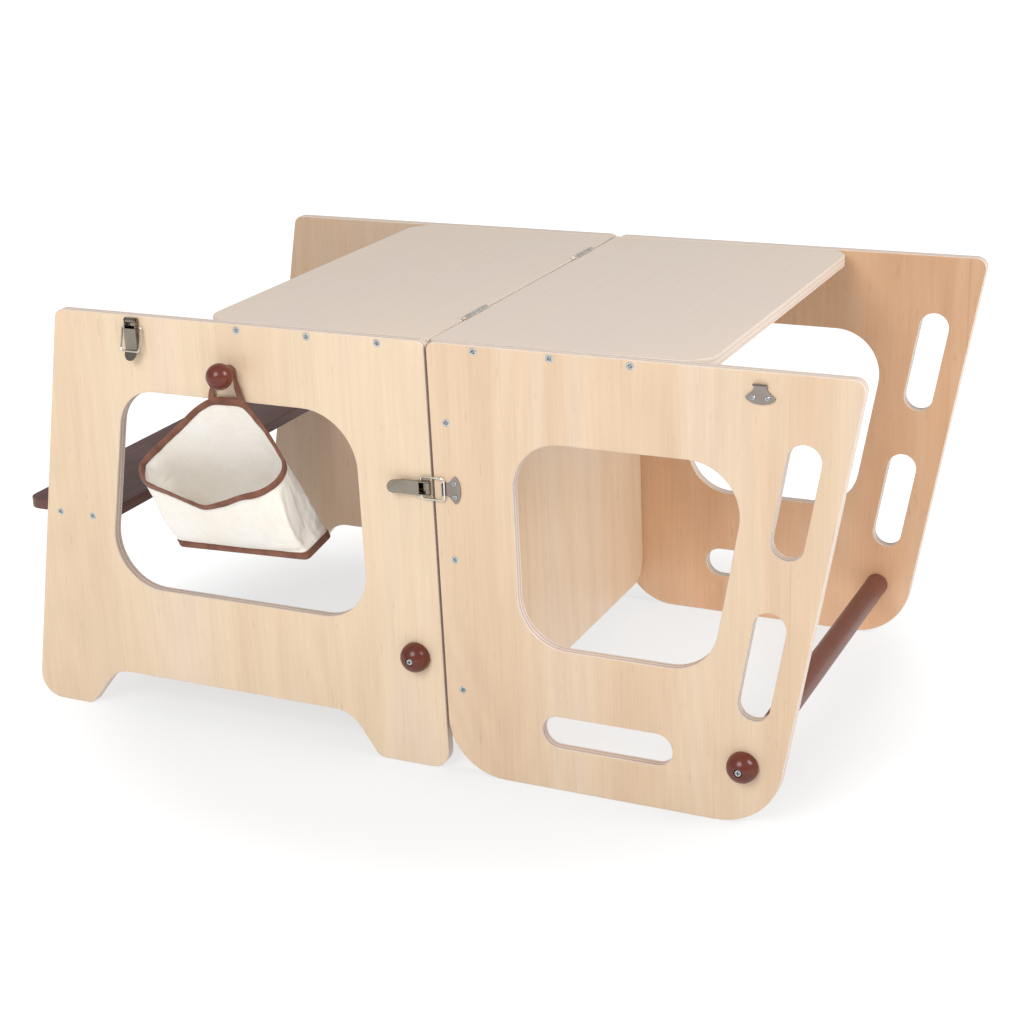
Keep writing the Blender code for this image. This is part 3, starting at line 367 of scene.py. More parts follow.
def sanded_copy(node, material, smooth_degrees=60.0, cutter=None):
    """A CAD node's own shape with its corners joined, so that round faces and broken edges shade round."""
    source = frame["nodes"][node]
    mesh = source.data.copy()
    work = bmesh.new()
    work.from_mesh(mesh)
    bmesh.ops.remove_doubles(work, verts=work.verts, dist=1e-6)
    work.to_mesh(mesh)
    work.free()
    custom = mesh.attributes.get("custom_normal")
    if custom:
        mesh.attributes.remove(custom)
    smooth_but_for(mesh, smooth_degrees)
    mesh.materials.clear()
    mesh.materials.append(material)
    piece = in_scene(f"{node}_finished", mesh)
    if cutter:
        sink = piece.modifiers.new("countersinks", "BOOLEAN")
        sink.solver = "EXACT"
        sink.object = cutter
    weigh = piece.modifiers.new("even_shading", "WEIGHTED_NORMAL")
    weigh.keep_sharp = True
    settle(piece)
    if cutter:
        bpy.data.objects.remove(cutter, do_unlink=True)
    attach(piece, source["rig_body"])
    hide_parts(node)


BOARD_SCREW_Z = 0.4443
LOWER_SCREWS = ((-0.0508, BOARD_SCREW_Z), (-0.1286, BOARD_SCREW_Z), (-0.2082, BOARD_SCREW_Z),
                (-0.4503, 0.2250), (-0.4084, 0.2250))
UPPER_SCREWS = ((0.0508, BOARD_SCREW_Z), (0.1286, BOARD_SCREW_Z), (0.2082, BOARD_SCREW_Z),
                (0.0194, 0.3717), (0.0221, 0.2320), (0.0242, 0.0927))
COUNTERSINK_RADIUS = 0.0043
COUNTERSINK_DEPTH = 0.0030
COUNTERSINK_SIDES = 32
CUTTER_PROUD = 0.001
CUTTER_TIP = 0.0004


def facing_out(y_direction):
    """The turn that points Z out of a panel, to the front for -1 and to the rear for 1."""
    return Matrix.Rotation(-y_direction * math.pi / 2, 4, "X")


def outer_face(node):
    """The y of a panel's outer face, and which way that face looks."""
    low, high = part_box(node)
    return (low.y, -1.0) if "front" in node else (high.y, 1.0)


def countersinks(node, spots):
    """Cones that cut the seats of the screw heads into a panel's outer face."""
    face, outward = outer_face(node)
    length = COUNTERSINK_DEPTH + CUTTER_PROUD
    cones = bmesh.new()
    for x, z in spots:
        cone = bmesh.ops.create_cone(
            cones, cap_ends=True, segments=COUNTERSINK_SIDES, radius1=CUTTER_TIP,
            radius2=COUNTERSINK_RADIUS + CUTTER_PROUD, depth=length,
        )
        middle = face + outward * (CUTTER_PROUD - length / 2)
        place = Matrix.Translation((JOINT_FRONT.x + x, middle, z)) @ facing_out(outward)
        bmesh.ops.transform(cones, matrix=place, verts=cone["verts"])
    return in_scene("countersinks", mesh_from(cones, "countersinks"))


# Each panel's inner face takes a veneer with painted shade.
for seed, (node, veneers, painted_bounce_foot, spots) in enumerate((
    ("lower_front_panel", (PALE_VENEER, SHADE_PAINTED_VENEER), 1.0, LOWER_SCREWS),
    ("upper_front_panel", (WARM_VENEER, SHADE_PAINTED_VENEER), 1.0, UPPER_SCREWS),
    ("lower_rear_panel", (SHADE_PAINTED_VENEER, PALE_VENEER), 1.0, LOWER_SCREWS),
    ("upper_rear_panel", (SHADE_AND_BOUNCE_PAINTED_VENEER, WARM_VENEER), 1.42, UPPER_SCREWS),
)):
    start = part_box(node)[0].y
    birch = plywood(f"birch_{node}", (0.0, 1.0, 0.0), start, veneers, seed + 1.0, painted_bounce_foot)
    sanded_copy(node, birch, cutter=countersinks(node, spots))

divider_low, divider_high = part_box("divider_panel")
lean_at_floor = divider_low.x + JOINT_LEAN * divider_high.z
# The divider's left face takes the veneer with painted shade, its lit right face the warm one.
divider_birch = plywood(
    "birch_divider_panel", (1.0, 0.0, JOINT_LEAN), lean_at_floor, (SHADE_PAINTED_VENEER, WARM_VENEER), 6.0,
)
sanded_copy("divider_panel", divider_birch)


# Table boards: smooth 12 mm boards with a beige satin face, level with the panels' top edges.
# Their edges show the same plies; the grain is only a faint mottle.

BOARD_FACE = ((0.635, 0.536, 0.455), (0.627, 0.531, 0.457), (0.646, 0.542, 0.448))
EDGE_STAIN = 0.55


def table_finish(name, seed):
    """Beige boards: a faint mottle and grain along the table, and stained plies in the edges."""
    material, tree, shader = new_finish(name, {})
    place = (seed * 2.1, seed * 1.3, seed)
    depth = through_sheet(tree, along_axis(tree, "Z"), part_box("lower_top_board")[0].z)
    first, second, third = BOARD_FACE
    mottle = stretched_noise(tree, place, (5.0, 2.2, 5.0), 5.0, 0.55)
    streaks = stretched_noise(tree, place, (160.0, 5.0, 160.0), 4.0, 0.6)
    pores = stretched_noise(tree, place, (700.0, 90.0, 700.0), 2.0, 0.6)
    face = multiplied(
        tree, ramp(tree, mottle, [(0.35, second), (0.50, first), (0.66, third)]),
        greys(tree, streaks, [(0.3, 0.988), (0.6, 1.006)]),
        greys(tree, pores, [(0.35, 0.992), (0.60, 1.003)]),
    )
    edge = blend_colours(tree, EDGE_STAIN, ply_colours(tree, depth), first)
    colour = blend_colours(tree, on_sheet(tree, depth), edge, face)
    painted(tree, shader, colour, greys(tree, streaks, [(0.3, 0.46), (0.7, 0.38)]))
    raised(tree, shader, pores, 0.03, 0.0003)
    return material


for seed, node in enumerate(("lower_top_board", "upper_top_board")):
    sanded_copy(node, table_finish(f"beige_{node}", seed + 3.0))


# Step, rods, knobs and peg: beech painted a dark reddish brown with a soft gloss. The paint is
# slightly uneven, and a little lighter along sharp edges as a painted edge highlight.

KNOB_TONES = ((0.089, 0.017, 0.010), (0.116, 0.023, 0.013), (0.142, 0.031, 0.018))
ROD_TONES = ((0.080, 0.023, 0.015), (0.100, 0.030, 0.020), (0.125, 0.041, 0.028))
# The step's tones are the paint's own brown lifted greyer and bluer than the knobs': a painted sheen.
STEP_TONES_WITH_PAINTED_SHEEN = ((0.069, 0.031, 0.031), (0.090, 0.042, 0.039), (0.115, 0.057, 0.053))
PAINTED_EDGE_HIGHLIGHT = (0.230, 0.085, 0.055)
ALONG_Y = (240.0, 7.0, 240.0)
EVEN = (160.0, 160.0, 160.0)


def brown_paint(name, tones, scale, gloss, seed):
    """Brown paint; scale sets how the faint brush and grain marks run along the piece."""
    material, tree, shader = new_finish(name, {"Specular IOR Level": 0.38})
    place = (seed, seed * 1.9, seed * 0.7)
    cloud = stretched_noise(tree, place, (14.0, 14.0, 14.0), 4.0, 0.6)
    marks = stretched_noise(tree, place, scale, 4.0, 0.65)
    colour = multiplied(
        tree, ramp(tree, cloud, list(zip((0.32, 0.52, 0.72), tones))),
        greys(tree, marks, [(0.32, 0.92), (0.62, 1.05)]),
    )
    geometry = shader_node(tree, "ShaderNodeNewGeometry")
    # Lighter along sharp edges: a painted edge highlight.
    painted_edge_highlight = greys(tree, geometry.outputs["Pointiness"], [(0.53, 0.0), (0.60, 0.55)])
    colour = blend_colours(tree, painted_edge_highlight, colour, PAINTED_EDGE_HIGHLIGHT)
    painted(tree, shader, colour, greys(tree, marks, [(0.3, gloss + 0.06), (0.7, gloss)]))
    raised(tree, shader, marks, 0.10, 0.0003)
    return material


step_paint = brown_paint("brown_step_paint", STEP_TONES_WITH_PAINTED_SHEEN, ALONG_Y, 0.42, 1.0)
rod_paint = brown_paint("brown_rod_paint", ROD_TONES, ALONG_Y, 0.34, 4.0)
on_turnings = brown_paint("brown_knob_paint", KNOB_TONES, EVEN, 0.22, 2.0)
sanded_copy("step_board", step_paint)
for node in ("lower_stretcher_rod", "safety_rod"):
    sanded_copy(node, rod_paint)


def faces_between(low, high):
    """The corners of each face between two rings."""
    for side in range(len(low)):
        after = (side + 1) % len(low)
        yield low[side], low[after], high[after], high[side]


def turned_piece(name, profile, sides, matrix, material, closed=False):
    """A piece turned on a lathe: (radius, height) points about its own Z, then put in place."""
    points = []
    rings = []
    for radius, height in profile:
        if radius == 0:
            rings.append([len(points)] * sides)
            points.append((0.0, 0.0, height))
            continue
        rings.append([len(points) + side for side in range(sides)])
        for side in range(sides):
            angle = math.tau * side / sides
            points.append((radius * math.cos(angle), radius * math.sin(angle), height))
    pairs = list(zip(rings, rings[1:]))
    if closed:
        pairs.append((rings[-1], rings[0]))
    faces = [tuple(dict.fromkeys(corners)) for pair in pairs for corners in faces_between(*pair)]
    mesh = bpy.data.meshes.new(name)
    mesh.from_pydata(points, [], faces)
    mesh.transform(matrix)
    return linked(name, mesh, material)


def linked(name, mesh, material, smooth_degrees=40.0):
    """Link a mesh as a piece, its faces pointing out and its round faces smooth."""
    work = bmesh.new()
    work.from_mesh(mesh)
    bmesh.ops.recalc_face_normals(work, faces=work.faces)
    work.to_mesh(mesh)
    work.free()
    smooth_but_for(mesh, smooth_degrees)
    mesh.materials.clear()
    mesh.materials.append(material)
    return in_scene(name, mesh)


def middle_of(node):
    """The middle of a node's box."""
    low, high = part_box(node)
    return (low + high) / 2


KNOB_RADIUS = 0.0155
KNOB_HEIGHT = 0.0175
KNOB_RIM = 0.003
KNOB_BORE = 0.0024
KNOB_SINK_RADIUS = 0.0042
KNOB_SINK_DEPTH = 0.0035
KNOB_SINK_BEVEL = 0.0004
KNOB_SINK_LIP = 0.0012
KNOB_EDGE = 0.0010
EDGE_STEPS = 3
DOME_STEPS = 16
PEG_NECK_RADIUS = 0.006
PEG_BALL_RADIUS = 0.0135
BALL_STEPS = 28
TURNING_SIDES = 64
KNOBS = [
    (f"{rod}_{side}_knob", body, outward)
    for rod, body in (("stretcher", "lower_frame"), ("safety_rod", "upper_frame"))
    for side, outward in (("front", -1.0), ("rear", 1.0))
]


def knob_profile():
    """A dome with a softened foot and a sunk seat for the screw's head."""
    dome = KNOB_HEIGHT - KNOB_RIM
    start = math.asin((KNOB_SINK_RADIUS + KNOB_SINK_BEVEL) / KNOB_RADIUS)
    profile = [(KNOB_BORE, 0)]
    for step in range(EDGE_STEPS + 1):
        angle = math.pi / 2 * step / EDGE_STEPS
        profile.append((
            KNOB_RADIUS - KNOB_EDGE + KNOB_EDGE * math.sin(angle), KNOB_EDGE - KNOB_EDGE * math.cos(angle),
        ))
    for step in range(DOME_STEPS + 1):
        angle = math.pi / 2 - (math.pi / 2 - start) * step / DOME_STEPS
        profile.append((KNOB_RADIUS * math.sin(angle), KNOB_RIM + dome * math.cos(angle)))
    profile.append((KNOB_SINK_RADIUS, KNOB_HEIGHT - KNOB_SINK_LIP))
    profile.append((KNOB_SINK_RADIUS, KNOB_HEIGHT - KNOB_SINK_DEPTH))
    profile.append((KNOB_BORE, KNOB_HEIGHT - KNOB_SINK_DEPTH))
    return profile


def peg_profile(length):
    """A ball on a short neck."""
    ball = length - PEG_BALL_RADIUS
    profile = [(0, 0), (PEG_NECK_RADIUS, 0)]
    meet = math.pi - math.asin(PEG_NECK_RADIUS / PEG_BALL_RADIUS)
    for step in range(BALL_STEPS + 1):
        angle = meet * (1 - step / BALL_STEPS)
        radius = 0 if step == BALL_STEPS else PEG_BALL_RADIUS * math.sin(angle)
        profile.append((radius, ball + PEG_BALL_RADIUS * math.cos(angle)))
    return profile


for node, body, outward in (*KNOBS, ("bag_peg", "lower_frame", -1.0)):
    low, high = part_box(node)
    centre = middle_of(node)
    place = Matrix.Translation((centre.x, high.y if outward < 0 else low.y, centre.z)) @ facing_out(outward)
    bored = node != "bag_peg"
    profile = knob_profile() if bored else peg_profile(high.y - low.y)
    turning = turned_piece(f"{node}_turned", profile, TURNING_SIDES, place, on_turnings, closed=bored)
    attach(turning, body)
    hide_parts(node)


# Latches and hinges: nickel-plated pressed steel. The plating is bright with fine brushed lines,
# a warm tarnish in places, and dull scratches on the levers. The latch parts' tint is darkened as
# painted dark reflection, and the hinges' tint is raised as painted bright reflection.

METAL = {"Metallic": 1.0}
TARNISH = (0.86, 0.82, 0.76)
PRESSED_EDGE_DEGREES = 38.0


def nickel(name, tint, rough_low, rough_high, seed):
    """Nickel plate with warm tarnished clouds and fine scratches."""
    material, tree, shader = new_finish(name, METAL)
    place = (seed, seed * 0.6, seed * 1.4)
    tarnish = stretched_noise(tree, place, (55.0, 55.0, 55.0), 3.0, 0.5)
    dull = tuple(channel * share for channel, share in zip(tint, TARNISH))
    scratches = stretched_noise(tree, place, (1500.0, 500.0, 120.0), 3.0, 0.6)
    colour = ramp(tree, tarnish, [(0.36, dull), (0.62, tint)])
    painted(tree, shader, colour, greys(tree, scratches, [(0.35, rough_low), (0.65, rough_high)]))
    raised(tree, shader, scratches, 0.08, 0.0001)
    return material


# Lever and keeper tints darkened as painted dark reflection; the hinge tint raised as painted bright
# reflection.
lever_nickel_dark_reflection = nickel("lever_nickel_dark_reflection", (0.262, 0.236, 0.196), 0.08, 0.18, 1.0)
keeper_nickel_dark_reflection = nickel("keeper_nickel_dark_reflection", (0.285, 0.250, 0.232), 0.14, 0.28, 3.0)
hinge_nickel_bright_reflection = nickel("hinge_nickel_bright_reflection", (0.860, 0.840, 0.800), 0.10, 0.22, 5.0)
bright_wire = nickel("bright_wire", (0.740, 0.720, 0.680), 0.08, 0.18, 2.0)
LATCHES = ("front_side", "rear_side", "front_top", "rear_top")

for latch in LATCHES:
    for part in ("latch_base", "latch_pin", "latch_lever"):
        sanded_copy(f"{latch}_{part}", lever_nickel_dark_reflection, PRESSED_EDGE_DEGREES)
    sanded_copy(f"{latch}_keeper", keeper_nickel_dark_reflection, PRESSED_EDGE_DEGREES)
for side in ("front", "rear"):
    for part in ("lower_leaf", "upper_leaf", "pin"):
        sanded_copy(f"{side}_hinge_{part}", hinge_nickel_bright_reflection, PRESSED_EDGE_DEGREES)


# Wire bails: 2 mm spring wire bent to a loop, its two ends turned in through the lever's eyes.
# The side latches' bails pull on their hooks, the top latches' lie folded back over the levers.

BAIL_WIRE_RADIUS = 0.001
BAIL_HALF_WIDTH = 0.0111
BAIL_LENGTH = 0.0247
BAIL_CORNER = 0.0035
BAIL_END = 0.0059
BAIL_STORED = {"side": 0.0, "top": math.radians(164.5)}
LATCH_PIN_RISE = 0.0031
BAIL_BEHIND_PIN = 0.007
BAIL_RISE = 0.0029
BEND_STEPS = 8


def rounded_path(corners, arc_steps):
    """Points along straight runs joined by arcs; corners are (a, b, radius)."""
    path = []
    for index, (a, b, radius) in enumerate(corners):
        corner = Vector((a, b))
        if radius == 0:
            path.append(corner)
            continue
        before = (Vector(corners[index - 1][:2]) - corner).normalized()
        after = (Vector(corners[index + 1][:2]) - corner).normalized()
        half = before.angle(after) / 2
        centre = corner + (before + after).normalized() * radius / math.sin(half)
        start = corner + before * radius / math.tan(half) - centre
        sweep = start.angle_signed(corner + after * radius / math.tan(half) - centre)
        for step in range(arc_steps + 1):
            path.append(centre + Matrix.Rotation(-sweep * step / arc_steps, 2) @ start)
    return path


def wire(name, points, radius, material):
    """A round wire through the points, as a mesh with closed ends."""
    curve = bpy.data.curves.new(name, "CURVE")
    curve.dimensions = "3D"
    curve.bevel_depth = radius
    curve.bevel_resolution = 5
    curve.use_fill_caps = True
    spline = curve.splines.new("POLY")
    spline.points.add(len(points) - 1)
    for target, point in zip(spline.points, points):
        target.co = (*point, 1.0)
    drawn = in_scene(name, curve)
    mesh = as_mesh(drawn)
    bpy.data.objects.remove(drawn, do_unlink=True)
    return linked(name, mesh, material, 50.0)


def outward_of(latch):
    """-1 for a latch on the front panels, 1 for one on the rear panels."""
    return -1.0 if latch.startswith("front") else 1.0


def bail_frame(latch):
    """The closed or stored bail's own axes: a along its sides, b across, u away from the panel."""
    outside = Vector((0, outward_of(latch), 0))
    towards = Vector((1, 0, 0)) if latch.endswith("side") else Vector((0, 0, 1))
    across = outside.cross(towards)
    basis = Matrix((towards, across, outside)).transposed().to_4x4()
    place = Matrix.Translation(middle_of(f"{latch}_latch_pin")) @ basis
    pivot = Matrix.Translation((-BAIL_BEHIND_PIN, 0, BAIL_RISE - LATCH_PIN_RISE))
    return place @ pivot @ Matrix.Rotation(-BAIL_STORED[latch.split("_")[1]], 4, "Y")


bail_line = rounded_path([
    (0, BAIL_END, 0), (0, BAIL_HALF_WIDTH, BAIL_CORNER / 2), (BAIL_LENGTH, BAIL_HALF_WIDTH, BAIL_CORNER),
    (BAIL_LENGTH, -BAIL_HALF_WIDTH, BAIL_CORNER), (0, -BAIL_HALF_WIDTH, BAIL_CORNER / 2), (0, -BAIL_END, 0),
], BEND_STEPS)
for latch in LATCHES:
    place = bail_frame(latch)
    node = f"{latch}_latch_bail"
    line = [place @ Vector((*point, 0)) for point in bail_line]
    bail = wire(f"{node}_wire", line, BAIL_WIRE_RADIUS, bright_wire)
    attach(bail, f"{latch}_bail")
    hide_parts(node)


# Screws: zinc-plated cross-head screws. Countersunk ones hold the boards to the panels, small
# round-headed ones hold the latches. Geometry Nodes set one head on each marked point.

HEAD_SIDES = 28
SHOULDER_SHARE = 0.45
CROWN_SHARE = 0.82
CROSS_WIDTH = 0.0010
CROSS_TAPER = 0.55
ZINC_DARK = (0.34, 0.365, 0.375)
ZINC_LIGHT = (0.54, 0.565, 0.57)


def zinc():
    """Zinc plate, bright in small clouds."""
    material, tree, shader = new_finish("bright_zinc", METAL)
    cloud = stretched_noise(tree, (3.0, 1.0, 2.0), (420.0, 420.0, 420.0), 4.0, 0.6)
    colour = ramp(tree, cloud, [(0.35, ZINC_DARK), (0.60, ZINC_LIGHT)])
    painted(tree, shader, colour, greys(tree, cloud, [(0.3, 0.40), (0.7, 0.22)]))
    return material


def screw_head(name, radius, crown, cross_reach, cross_depth, below):
    """A head on Z: rings below it, as (share of its radius, height), a low crown and a cross recess."""
    angles = [math.tau * side / HEAD_SIDES for side in range(HEAD_SIDES)]
    outline = [Vector((radius * math.cos(angle), radius * math.sin(angle))) for angle in angles]
    half = CROSS_WIDTH / 2
    quarter = [Vector((cross_reach, -half)), Vector((cross_reach, half)), Vector((half, half))]
    cross = [Matrix.Rotation(math.pi / 2 * turn, 2) @ point for turn in range(4) for point in quarter]
    work = bmesh.new()
    rings = []
    for share, height in (*below, (1.0, crown * SHOULDER_SHARE), (CROWN_SHARE, crown)):
        rings.append([work.verts.new((point.x * share, point.y * share, height)) for point in outline])
    for pair in zip(rings, rings[1:]):
        for corners in faces_between(*pair):
            work.faces.new(corners)
    work.faces.new(rings[0][::-1])
    rim = [work.verts.new((point.x, point.y, crown)) for point in cross]
    floor_points = [
        work.verts.new((point.x * CROSS_TAPER, point.y * CROSS_TAPER, crown - cross_depth)) for point in cross
    ]
    edges = []
    for loop in (rings[-1], rim):
        for index, vertex in enumerate(loop):
            after = loop[(index + 1) % len(loop)]
            edges.append(work.edges.get((vertex, after)) or work.edges.new((vertex, after)))
    bmesh.ops.triangle_fill(work, use_beauty=True, edges=edges)
    inside = [face for face in work.faces if all(vertex in rim for vertex in face.verts)]
    bmesh.ops.delete(work, geom=inside, context="FACES_ONLY")
    for corners in faces_between(rim, floor_points):
        work.faces.new(corners)
    work.faces.new(floor_points)
    mesh = mesh_from(work, name)
    smooth_but_for(mesh, 40.0)
    return in_scene(name, mesh)


def heads_on_points():
    """A node tree that puts a head on every point, looking along the point's facing and turned at random."""
    tree = bpy.data.node_groups.new("heads_on_points", "GeometryNodeTree")
    for name, kind in (("Points", "NodeSocketGeometry"), ("Head", "NodeSocketObject"),
                       ("Seed", "NodeSocketInt"), ("Finish", "NodeSocketMaterial")):
        tree.interface.new_socket(name, in_out="INPUT", socket_type=kind)
    tree.interface.new_socket("Geometry", in_out="OUTPUT", socket_type="NodeSocketGeometry")
    entry = tree.nodes.new("NodeGroupInput")
    leave = tree.nodes.new("NodeGroupOutput")
    facing = shader_node(tree, "GeometryNodeInputNamedAttribute", {"Name": "facing"}, data_type="FLOAT_VECTOR")
    align = shader_node(tree, "FunctionNodeAlignRotationToVector", {
        "Vector": facing.outputs["Attribute"],
    }, axis="Z")
    spin = shader_node(tree, "FunctionNodeRandomValue", {
        "Min": 0.0, "Max": math.tau, "Seed": entry.outputs["Seed"],
    }, data_type="FLOAT")
    spin_vector = shader_node(tree, "ShaderNodeCombineXYZ", {"Z": spin.outputs[1]})
    turn = shader_node(tree, "FunctionNodeRotateRotation", {
        "Rotation": align.outputs["Rotation"], "Rotate By": spin_vector.outputs["Vector"],
    }, rotation_space="LOCAL")
    head = shader_node(tree, "GeometryNodeObjectInfo", {"Object": entry.outputs["Head"]})
    placed = shader_node(tree, "GeometryNodeInstanceOnPoints", {
        "Points": entry.outputs["Points"], "Instance": head.outputs["Geometry"],
        "Rotation": turn.outputs["Rotation"],
    })
    real = shader_node(tree, "GeometryNodeRealizeInstances", {"Geometry": placed.outputs["Instances"]})
    finish = shader_node(tree, "GeometryNodeSetMaterial", {
        "Geometry": real.outputs["Geometry"], "Material": entry.outputs["Finish"],
    })
    tree.links.new(finish.outputs["Geometry"], leave.inputs["Geometry"])
    return tree


def set_input(modifier, name, value):
    """Set a Geometry Nodes input by the identifier of its socket."""
    for item in modifier.node_group.interface.items_tree:
        if item.item_type == "SOCKET" and item.in_out == "INPUT" and item.name == name:
            modifier[item.identifier] = value


def set_on_points(name, body, item, spots, seed, finish):
    """One mesh for a body, with the item at each spot; spots are (point, direction of its own Z)."""
    mesh = bpy.data.meshes.new(name)
    mesh.from_pydata([tuple(point) for point, facing in spots], [], [])
    direction = mesh.attributes.new("facing", "FLOAT_VECTOR", "POINT")
    for mark, (point, facing) in zip(direction.data, spots):
        mark.vector = facing
    piece = in_scene(name, mesh)
    modifier = piece.modifiers.new("heads", "NODES")
    modifier.node_group = HEADS
    set_input(modifier, "Head", item)
    set_input(modifier, "Seed", seed)
    set_input(modifier, "Finish", finish)
    settle(piece)
    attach(piece, body)
    return piece


HEADS = heads_on_points()
ZINC = zinc()
board_screw = screw_head(
    "board_screw", radius=0.0040, crown=0.0003, cross_reach=0.0022, cross_depth=0.0006,
    below=((0.30, -0.0026), (0.95, -0.0001)),
)
latch_screw = screw_head(
    "latch_screw", radius=0.0024, crown=0.0011, cross_reach=0.0016, cross_depth=0.0010,
    below=((0.95, 0.0), (0.97, 0.0001)),
)
SCREW_SUNK = 0.0002
BOARD_SCREW_SEED = 3
LATCH_SCREW_SEED = 7
for level, spots, body in (("lower", LOWER_SCREWS, "lower_frame"), ("upper", UPPER_SCREWS, "upper_frame")):
    marks = []
    for side in ("front", "rear"):
        face, outward = outer_face(f"{level}_{side}_panel")
        for x, z in spots:
            point = Vector((JOINT_FRONT.x + x, face - outward * SCREW_SUNK, z))
            marks.append((point, (0.0, outward, 0.0)))
    set_on_points(f"{level}_board_screws", body, board_screw, marks, BOARD_SCREW_SEED, ZINC)

LATCH_SHEET_TOP = 0.0013
KEEPER_SCREW_A = 0.0283
KEEPER_SCREW_B = 0.00685
KEEPER_TOP_A = 0.015
BASE_SCREWS_A = (-0.0135, -0.0245)


def latch_point(latch, a, b, keeper_side):
    """A point on a latch's own plates: a towards the keeper, b across, on top of the sheet."""
    pin = middle_of(f"{latch}_latch_pin")
    outward = outward_of(latch)
    face = pin.y - outward * LATCH_PIN_RISE
    if latch.endswith("side"):
        return Vector((pin.x + a, face + outward * LATCH_SHEET_TOP, pin.z + b))
    if not keeper_side:
        return Vector((pin.x + b, face + outward * LATCH_SHEET_TOP, pin.z + a))
    low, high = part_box(f"{latch}_keeper")
    return Vector(((low.x + high.x) / 2 + b, face + outward * LATCH_SHEET_TOP, high.z - a + KEEPER_TOP_A))


for body, keeper_side in (("lower_frame", False), ("upper_frame", True)):
    marks = []
    for latch in LATCHES:
        places = [(a, 0.0) for a in BASE_SCREWS_A]
        if keeper_side:
            places = [(KEEPER_SCREW_A, -KEEPER_SCREW_B), (KEEPER_SCREW_A, KEEPER_SCREW_B)]
        marks += [(latch_point(latch, a, b, keeper_side), (0.0, outward_of(latch), 0.0)) for a, b in places]
    set_on_points(f"{body}_latch_screws", body, latch_screw, marks, LATCH_SCREW_SEED, ZINC)
for used in (board_screw, latch_screw):
    bpy.data.objects.remove(used, do_unlink=True)

KNOB_SCREW_HEAD = 0.0037
KNOB_SCREW_CROWN = 0.0014
KNOB_SCREW_UNDER = 0.0006
SHANK_SHARE = 0.56
SCREW_POINT = 0.003


def shank_screw(node, body, outward):
    """A whole screw in a CAD screw's place, its head looking outward."""
    low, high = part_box(node)
    length = high.y - low.y
    bearing = KNOB_SCREW_CROWN + KNOB_SCREW_UNDER
    screw = screw_head(
        f"{node}_turned", radius=KNOB_SCREW_HEAD, crown=KNOB_SCREW_CROWN,
        cross_reach=0.0023, cross_depth=0.0022, below=(
            (0.10, bearing - length), (SHANK_SHARE, bearing - length + SCREW_POINT),
            (SHANK_SHARE, -KNOB_SCREW_UNDER), (0.94, -KNOB_SCREW_UNDER), (0.98, 0.0),
        ),
    )
    head_end = low.y if outward < 0 else high.y
    top = Vector(((low.x + high.x) / 2, head_end - outward * KNOB_SCREW_CROWN, (low.z + high.z) / 2))
    screw.data.transform(Matrix.Translation(top) @ facing_out(outward))
    screw.data.materials.append(ZINC)
    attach(screw, body)
    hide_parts(node)


for knob, body, outward in KNOBS:
    shank_screw(f"{knob}_screw", body, outward)
shank_screw("bag_peg_screw", "lower_frame", 1.0)


# Bag: one open bag of cream cotton canvas with a flat base, hung from the peg by its back edge.
# Its rim and base are held where they hang, and a short cloth simulation lets the walls buckle.

BAG_PLACE = Vector((middle_of("bag_peg").x, JOINT_FRONT.y, middle_of("bag_peg").z))
CANVAS_THICKNESS = 0.0010
FINE_STEPS = 16
ROUND_POINTS = 132
WALL_ROWS = 34
WALL_SWELL = 0.006
SIDE_SWELL = -0.004
UPRIGHT_SHARE = 0.40
STIFF_ROWS = 4
TAUT_FROM = 7
BASE_LENGTH = 0.1540
BASE_DEPTH = 0.050
BASE_CORNER = 0.004
BASE_BEND_STEPS = 6
BASE_CENTRE = Vector((0.0086, 0.0055, -0.1812))
BASE_TILT = math.radians(9)
BASE_ROLL = math.radians(2)
BASE_RINGS = (0.86, 0.66, 0.44, 0.22)
FRONT_RIM = (
    (-0.1150, -0.0080, -0.1097), (-0.1002, -0.0260, -0.1165), (-0.0780, -0.0400, -0.1165),
    (-0.0560, -0.0480, -0.1175), (-0.0242, -0.0560, -0.1216), (-0.0059, -0.0585, -0.1235),
    (0.0158, -0.0585, -0.1169), (0.0368, -0.0560, -0.1085), (0.0540, -0.0490, -0.1040),
    (0.0632, -0.0370, -0.0985), (0.0650, -0.0240, -0.0925), (0.0625, -0.0140, -0.0848),
)
REAR_RIM = (
    (0.0625, -0.0140, -0.0848), (0.0531, -0.0095, -0.0728), (0.0389, -0.0060, -0.0554),
    (0.0251, -0.0042, -0.0407), (0.0130, -0.0036, -0.0300), (-0.0060, -0.0036, -0.0292),
    (-0.0248, -0.0036, -0.0311), (-0.0449, -0.0042, -0.0434), (-0.0655, -0.0050, -0.0621),
    (-0.0904, -0.0060, -0.0837), (-0.1080, -0.0070, -0.1000), (-0.1150, -0.0080, -0.1097),
)
CANVAS_BEHAVIOUR = {
    "quality": 8, "mass": 0.25, "tension_stiffness": 25.0, "compression_stiffness": 12.0,
    "shear_stiffness": 6.0, "bending_stiffness": 0.35, "air_damping": 2.0, "shrink_min": -0.018,
}
CLOTH_FRAMES = 24
MOST_DRIFT = 0.007
CANVAS_LIGHT = (0.830, 0.795, 0.745)
CANVAS_WARM = (0.815, 0.762, 0.680)
COTTON = {"Roughness": 0.88, "Specular IOR Level": 0.22, "Sheen Weight": 0.15, "Sheen Roughness": 0.5}
YARN = 0.0009
CREASE_DEPTH = 0.010
CREASED_WIDTH = 0.060


